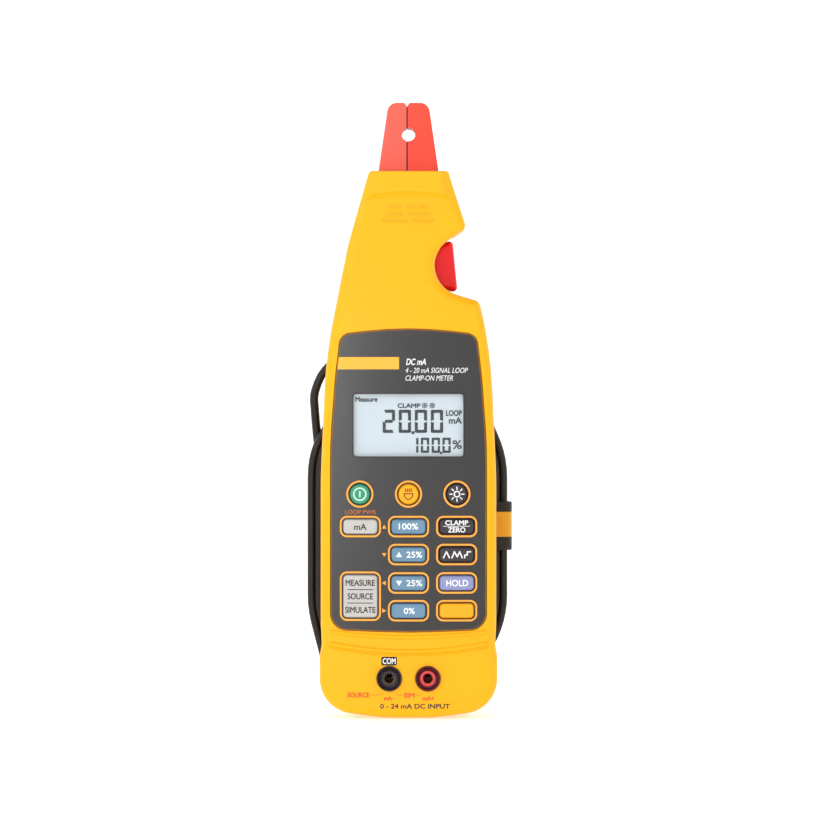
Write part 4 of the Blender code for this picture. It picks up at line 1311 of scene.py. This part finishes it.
def make_jack_print():
    y = -FRONT_DEPTH
    plaque = prism(outline_of(centred_rectangle(-JACK_X, 23.0, 6.3, 3.5, 0.7)), y - PRINT / 2, y + PRINT / 2)
    print_on("print_com_plaque", "case", "jack_black", [plaque])
    print_on("print_com", "case", "ink_white", letters("COM", -JACK_X, 23.0, 5.2, 2.4, y - PRINT / 2))
    marks = [bar(-6.3, -5.5, 8.0, 8.25, y)]
    for text, x, z, width, height in JACK_WORDS:
        marks += letters(text, x, z, width, height, y, bold=0.22)
    for line in JACK_LINES:
        marks += stroke(line, 0.2, y)
    print_on("print_functions", "case", "ink_red", marks)
    input_range = letters("0 - 24 mA DC INPUT", 2.6, 4.9, 28.0, 2.0, y, bold=0.15)
    print_on("print_range", "case", "ink_dark", input_range)


# Jaws and trigger


def right_jaw_corners():
    face = SPLIT_X + JAW_GAP
    mating = [(face, 246.9, 0.0), (face, 215.5, 0.0), (0.8, 214.0, 0.0)]
    tooth = [(0.8, 212.9, 0.0), (-1.3, 212.7, 0.0), (-1.3, 211.3, 0.0), (0.8, 211.1, 0.0)]
    lever = [(0.8, 208.0, 2.5), (3.6, 203.0, 0.0), (4.5, 192.0, 0.0), (4.5, 172.6, 1.0), (8.5, 172.6, 1.0)]
    outer = [(8.5, 192.0, 0.0), (9.6, 205.0, 0.0), (11.4, 214.0, 4.0), (12.2, 220.0, 0.0)]
    tip = [(8.1, JAW_TOP, 3.9), (face + 0.9, JAW_TOP, 0.0)]
    return mating + tooth + lever + outer + tip


def left_jaw_corners():
    face = SPLIT_X - JAW_GAP
    tip = [(face - 0.9, JAW_TOP, 0.0), (-8.1, JAW_TOP, 3.9)]
    outer = [(-12.2, 220.0, 0.0), (-11.4, 214.0, 4.0), (-9.0, 206.8, 2.5), (-0.8, 206.8, 2.5)]
    notch = [(-0.8, 210.7, 0.0), (-1.9, 210.7, 0.0), (-1.9, 213.3, 0.0), (-0.8, 213.3, 0.0)]
    mating = [(-0.8, 214.0, 0.0), (face, 215.5, 0.0), (face, 246.9, 0.0)]
    return tip + outer + notch + mating


def jaw_solid(corners):
    """A jaw half, slimmer towards its tip, with a rounded outer edge.
    Its faces fall away from the split."""
    levels = [222.0, 226.0, 230.0, 234.0, 238.0, 242.0, 245.0]
    solid = sliced(prism(outline_of(corners), -JAW_DEPTH, JAW_DEPTH), levels)
    steps = (2.0, 4.0, 6.0, 8.0, 9.2, 10.0, 10.8, 11.4)
    sliced(solid, [SPLIT_X + side * distance for distance in steps for side in (-1.0, 1.0)], across=True)
    for vertex in solid.verts:
        rise = smooth_share((vertex.co.z - 218.0) / 3.0)
        taper = share_at([(222.0, 1.0), (JAW_TOP, JAW_TIP_SHARE)], vertex.co.z)
        half_width = 12.5 - 4.1 * (vertex.co.z - 220.0) / 28.0
        outward = abs(vertex.co.x - SPLIT_X)
        fall = 0.06 * outward + 1.1 * max(0.0, (outward - half_width + 2.6) / 2.6) ** 2
        vertex.co.y *= taper * (1.0 - rise * fall / JAW_DEPTH)
    return solid


def make_jaws():
    corners = {"left": left_jaw_corners(), "right": right_jaw_corners()}
    for side, x in (("left", -PIVOT_X), ("right", PIVOT_X)):
        # Each half takes its own red: the lighter left red is painted light, the deeper right red painted
        # shade
        jaw = stand(f"jaw_half_{side}", jaw_solid(corners[side]), [f"jaw_{side}_red"])
        loops = [(CORE_OUTER + GAP, -CORE_DEPTH - GAP), (CORE_OUTER + GAP, CORE_DEPTH + GAP)]
        loops += [(CORE_INNER - GAP, CORE_DEPTH + GAP), (CORE_INNER - GAP, -CORE_DEPTH - GAP)]
        cut(jaw, lathe(0.0, HOLE_Z, loops, 64, closed=True))
        bore = cylinder(x, PIVOT_Z, PIN_RADIUS + PIN_CLEARANCE, -10.0, 10.0)
        cut(jaw, cylinder(0.0, HOLE_Z, HOLE_RADIUS, -10.0, 10.0, 64), bore)
        settle(jaw, f"{side}_jaw_lever", [f"jaw_{side}"], 40.0)
        if side == "right":
            make_tongue()
        pin = prism(circle(x, PIVOT_Z, PIN_RADIUS, 48), -11.5, 10.0, front_edge=0.3, rear_edge=0.3, facets=3)
        settle(stand(f"hinge_pin_{side}", pin, ["steel"]), "case", [f"pivot_pin_{side}"])


def make_tongue():
    """A thin lip on the right jaw that stands into the split, so that no light passes between the jaws. Its
    dark maroon is painted shade for the split between the halves.
    """
    face, tip = SPLIT_X + JAW_GAP + 0.1, SPLIT_X - JAW_GAP
    above_hole = box(tip, face, -3.6, 3.6, HOLE_Z + HOLE_RADIUS - 0.05, 246.6)
    below_hole = box(tip, face, -3.6, 3.6, 216.0, HOLE_Z - HOLE_RADIUS + 0.05)
    # Dark maroon: painted shade in the split between the jaws
    tongue = stand("jaw_split_shade_tongue", merged([above_hole, below_hole]), ["jack_maroon"])
    settle(tongue, "right_jaw_lever")


def make_spring():
    """The return spring: a coil from the case's rib towards the lever."""
    turns, per_turn, radius = 6, 24, 2.6
    start, end, level = -7.6, 3.8, 181.0
    points = []
    for k in range(turns * per_turn + 1):
        angle = 2.0 * math.pi * k / per_turn
        x = start + (end - start) * k / (turns * per_turn)
        points.append(Vector((x, radius * math.cos(angle), level + radius * math.sin(angle))))
    spring = stand("spring_coil", tube(points, 0.3, 10), ["steel"])
    settle(spring, "case", ["return_spring"])
    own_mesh(spring)


def make_trigger():
    corners = [(8.8, 172.4, 1.0), (19.9, 171.6, 1.6), (17.9, 192.4, 1.6), (8.8, 189.6, 1.0)]
    solid = prism(outline_of(corners), -JAW_DEPTH, JAW_DEPTH, front_edge=2.4, rear_edge=2.4, facets=8)
    trigger = stand("trigger_pad", solid, ["trigger_red"])
    settle(trigger, "right_jaw_lever", ["trigger"])


def make_head_details():
    """The lamp's domed lens in the collar, and three rows of small raised bars on the head."""
    dome = [(1.7, 216.4), (1.7, 219.6), (1.5, 220.0), (1.0, 220.3), (0.4, 220.4)]
    lens = stand("lamp_lens", upright_lathe(0.0, LAMP_Y, dome, 32), ["lens_clear"])
    settle(lens, "case", ["spotlight_lens"])
    rows = [(205.1, [3, 2, 2]), (202.3, [4, 5]), (199.5, [6, 5])]
    bars = []
    for level, groups in rows:
        total = sum(groups) + (len(groups) - 1) * 0.9
        x = -total * 0.93 + 0.2
        for count in groups:
            for _ in range(count):
                y = -FRONT_DEPTH * share_at(HEAD_FRONT, level)
                bars.append(box(x, x + 1.35, y - 0.12, y + 0.4, level - 0.75, level + 0.75))
                x += 1.86
            x += 1.4
    # The bars are a darker amber than the case: painted shade standing in for the shade of their relief
    print_on("raised_rows", "case", "case_amber", bars)


# CAD nodes that stay, and the stage


def assign(node, finish):
    """Gives a CAD node that stays its finished material."""
    mesh = frame["nodes"][node].data
    mesh.materials.clear()
    mesh.materials.append(MATERIALS[finish])


def dress_kept_nodes():
    finishes = {
        "battery_tray": "tray_black",
        "battery_contact_lower": "steel",
        "battery_contact_upper": "steel",
        "core_left": "core_steel",
        "core_right": "core_steel",
        "display_backlight": "display_white",
        "key_mat": "rubber_grey",
        "main_board": "board_green",
        "sensor_board": "board_green",
    }
    for number in range(1, 5):
        finishes[f"battery_{number}"] = "cell_jacket"
    for node, finish in finishes.items():
        assign(node, finish)


def make_stage():
    """A pale round floor that curves up into a wall on every side, like a light tent."""
    tree, shader = new_material("stage_white")
    clouds = noise(tree, 3.0)
    mix = blended(tree, clouds, linear((247, 247, 247)), linear((250, 250, 250)))
    tree.links.new(mix, shader.inputs["Base Color"])
    shader.inputs["Roughness"].default_value = 0.9
    shader.inputs["Emission Color"].default_value = (1.0, 1.0, 1.0, 1.0)
    shader.inputs["Emission Strength"].default_value = STAGE_GLOW
    floor_z = CASE_BOTTOM - FLOOR_DROP
    profile = [(1.2, 0.0), (2.2, 0.0)]
    bends = [math.radians(9.0 * k) for k in range(1, 11)]
    profile += [(2.2 + math.sin(bend), 1.0 - math.cos(bend)) for bend in bends]
    profile.append((3.2, 2.6))
    sides = 96
    stage = bmesh.new()
    middle = stage.verts.new((0.0, 0.0, floor_z))
    rings = []
    for radius, rise in profile:
        turns = [2.0 * math.pi * k / sides for k in range(sides)]
        ring = [(radius * math.cos(t), radius * math.sin(t), floor_z + rise) for t in turns]
        rings.append([stage.verts.new(point) for point in ring])
    for k in range(sides):
        stage.faces.new((middle, rings[0][k], rings[0][(k + 1) % sides]))
    for inner, outer in zip(rings, rings[1:]):
        for k in range(sides):
            j = (k + 1) % sides
            stage.faces.new((inner[k], outer[k], outer[j], inner[j]))
    mesh = bpy.data.meshes.new("stage")
    stage.to_mesh(mesh)
    stage.free()
    mesh.shade_smooth()
    mesh.materials.append(MATERIALS["stage_white"])
    tent = linked("stage", mesh)


def soft_light(name, place, size, power):
    light = bpy.data.lights.new(name, "AREA")
    light.shape = "DISK"
    light.size = size
    light.energy = power
    lamp = linked(name, light)
    lamp.location = place
    target = Vector((0.0, -0.02, 0.05))
    lamp.rotation_euler = (target - Vector(place)).to_track_quat("-Z", "Y").to_euler()


def make_lights():
    soft_light("key_light", (-1.0, -0.95, 0.9), 0.7, 4.6)
    soft_light("sheen_light", (-0.34, -1.4, 0.12), 0.16, 1.9)
    soft_light("fill_light", (1.1, -1.1, 0.3), 1.0, 0.35)
    soft_light("top_light", (0.1, -0.1, 1.3), 1.0, 2.3)
    soft_light("back_left_light", (-1.0, 1.1, 0.8), 0.9, 3.2)
    soft_light("back_right_light", (1.0, 1.1, 0.6), 0.9, 2.6)
    surroundings = bpy.data.worlds.new("surroundings")
    surroundings.use_nodes = True
    background = surroundings.node_tree.nodes["Background"]
    background.inputs["Color"].default_value = (1.0, 1.0, 1.0, 1.0)
    background.inputs["Strength"].default_value = SURROUNDINGS_STRENGTH
    bpy.context.scene.world = surroundings
    bpy.context.scene.view_settings.view_transform = "Standard"


def make_camera():
    camera = bpy.data.cameras.new("camera")
    camera.sensor_width = SENSOR_WIDTH
    camera.lens = SENSOR_WIDTH * CAMERA_DISTANCE / PICTURE_WIDTH
    viewer = linked("camera", camera)
    viewer.location = world((AIM[0], -FRONT_DEPTH, AIM[1])) - Vector((0.0, CAMERA_DISTANCE, 0.0))
    viewer.rotation_euler = (math.radians(90.0), 0.0, 0.0)
    bpy.context.scene.camera = viewer


make_camera()
make_lights()
make_materials()
make_stage()
make_lead()
make_strap()
make_front_case()
make_rear_case()
make_parting_lip()
make_door()
make_screws()
make_plate()
make_plate_print()
make_display()
make_keys()
make_jacks()
make_jack_print()
make_jaws()
make_trigger()
make_spring()
make_head_details()
dress_kept_nodes()
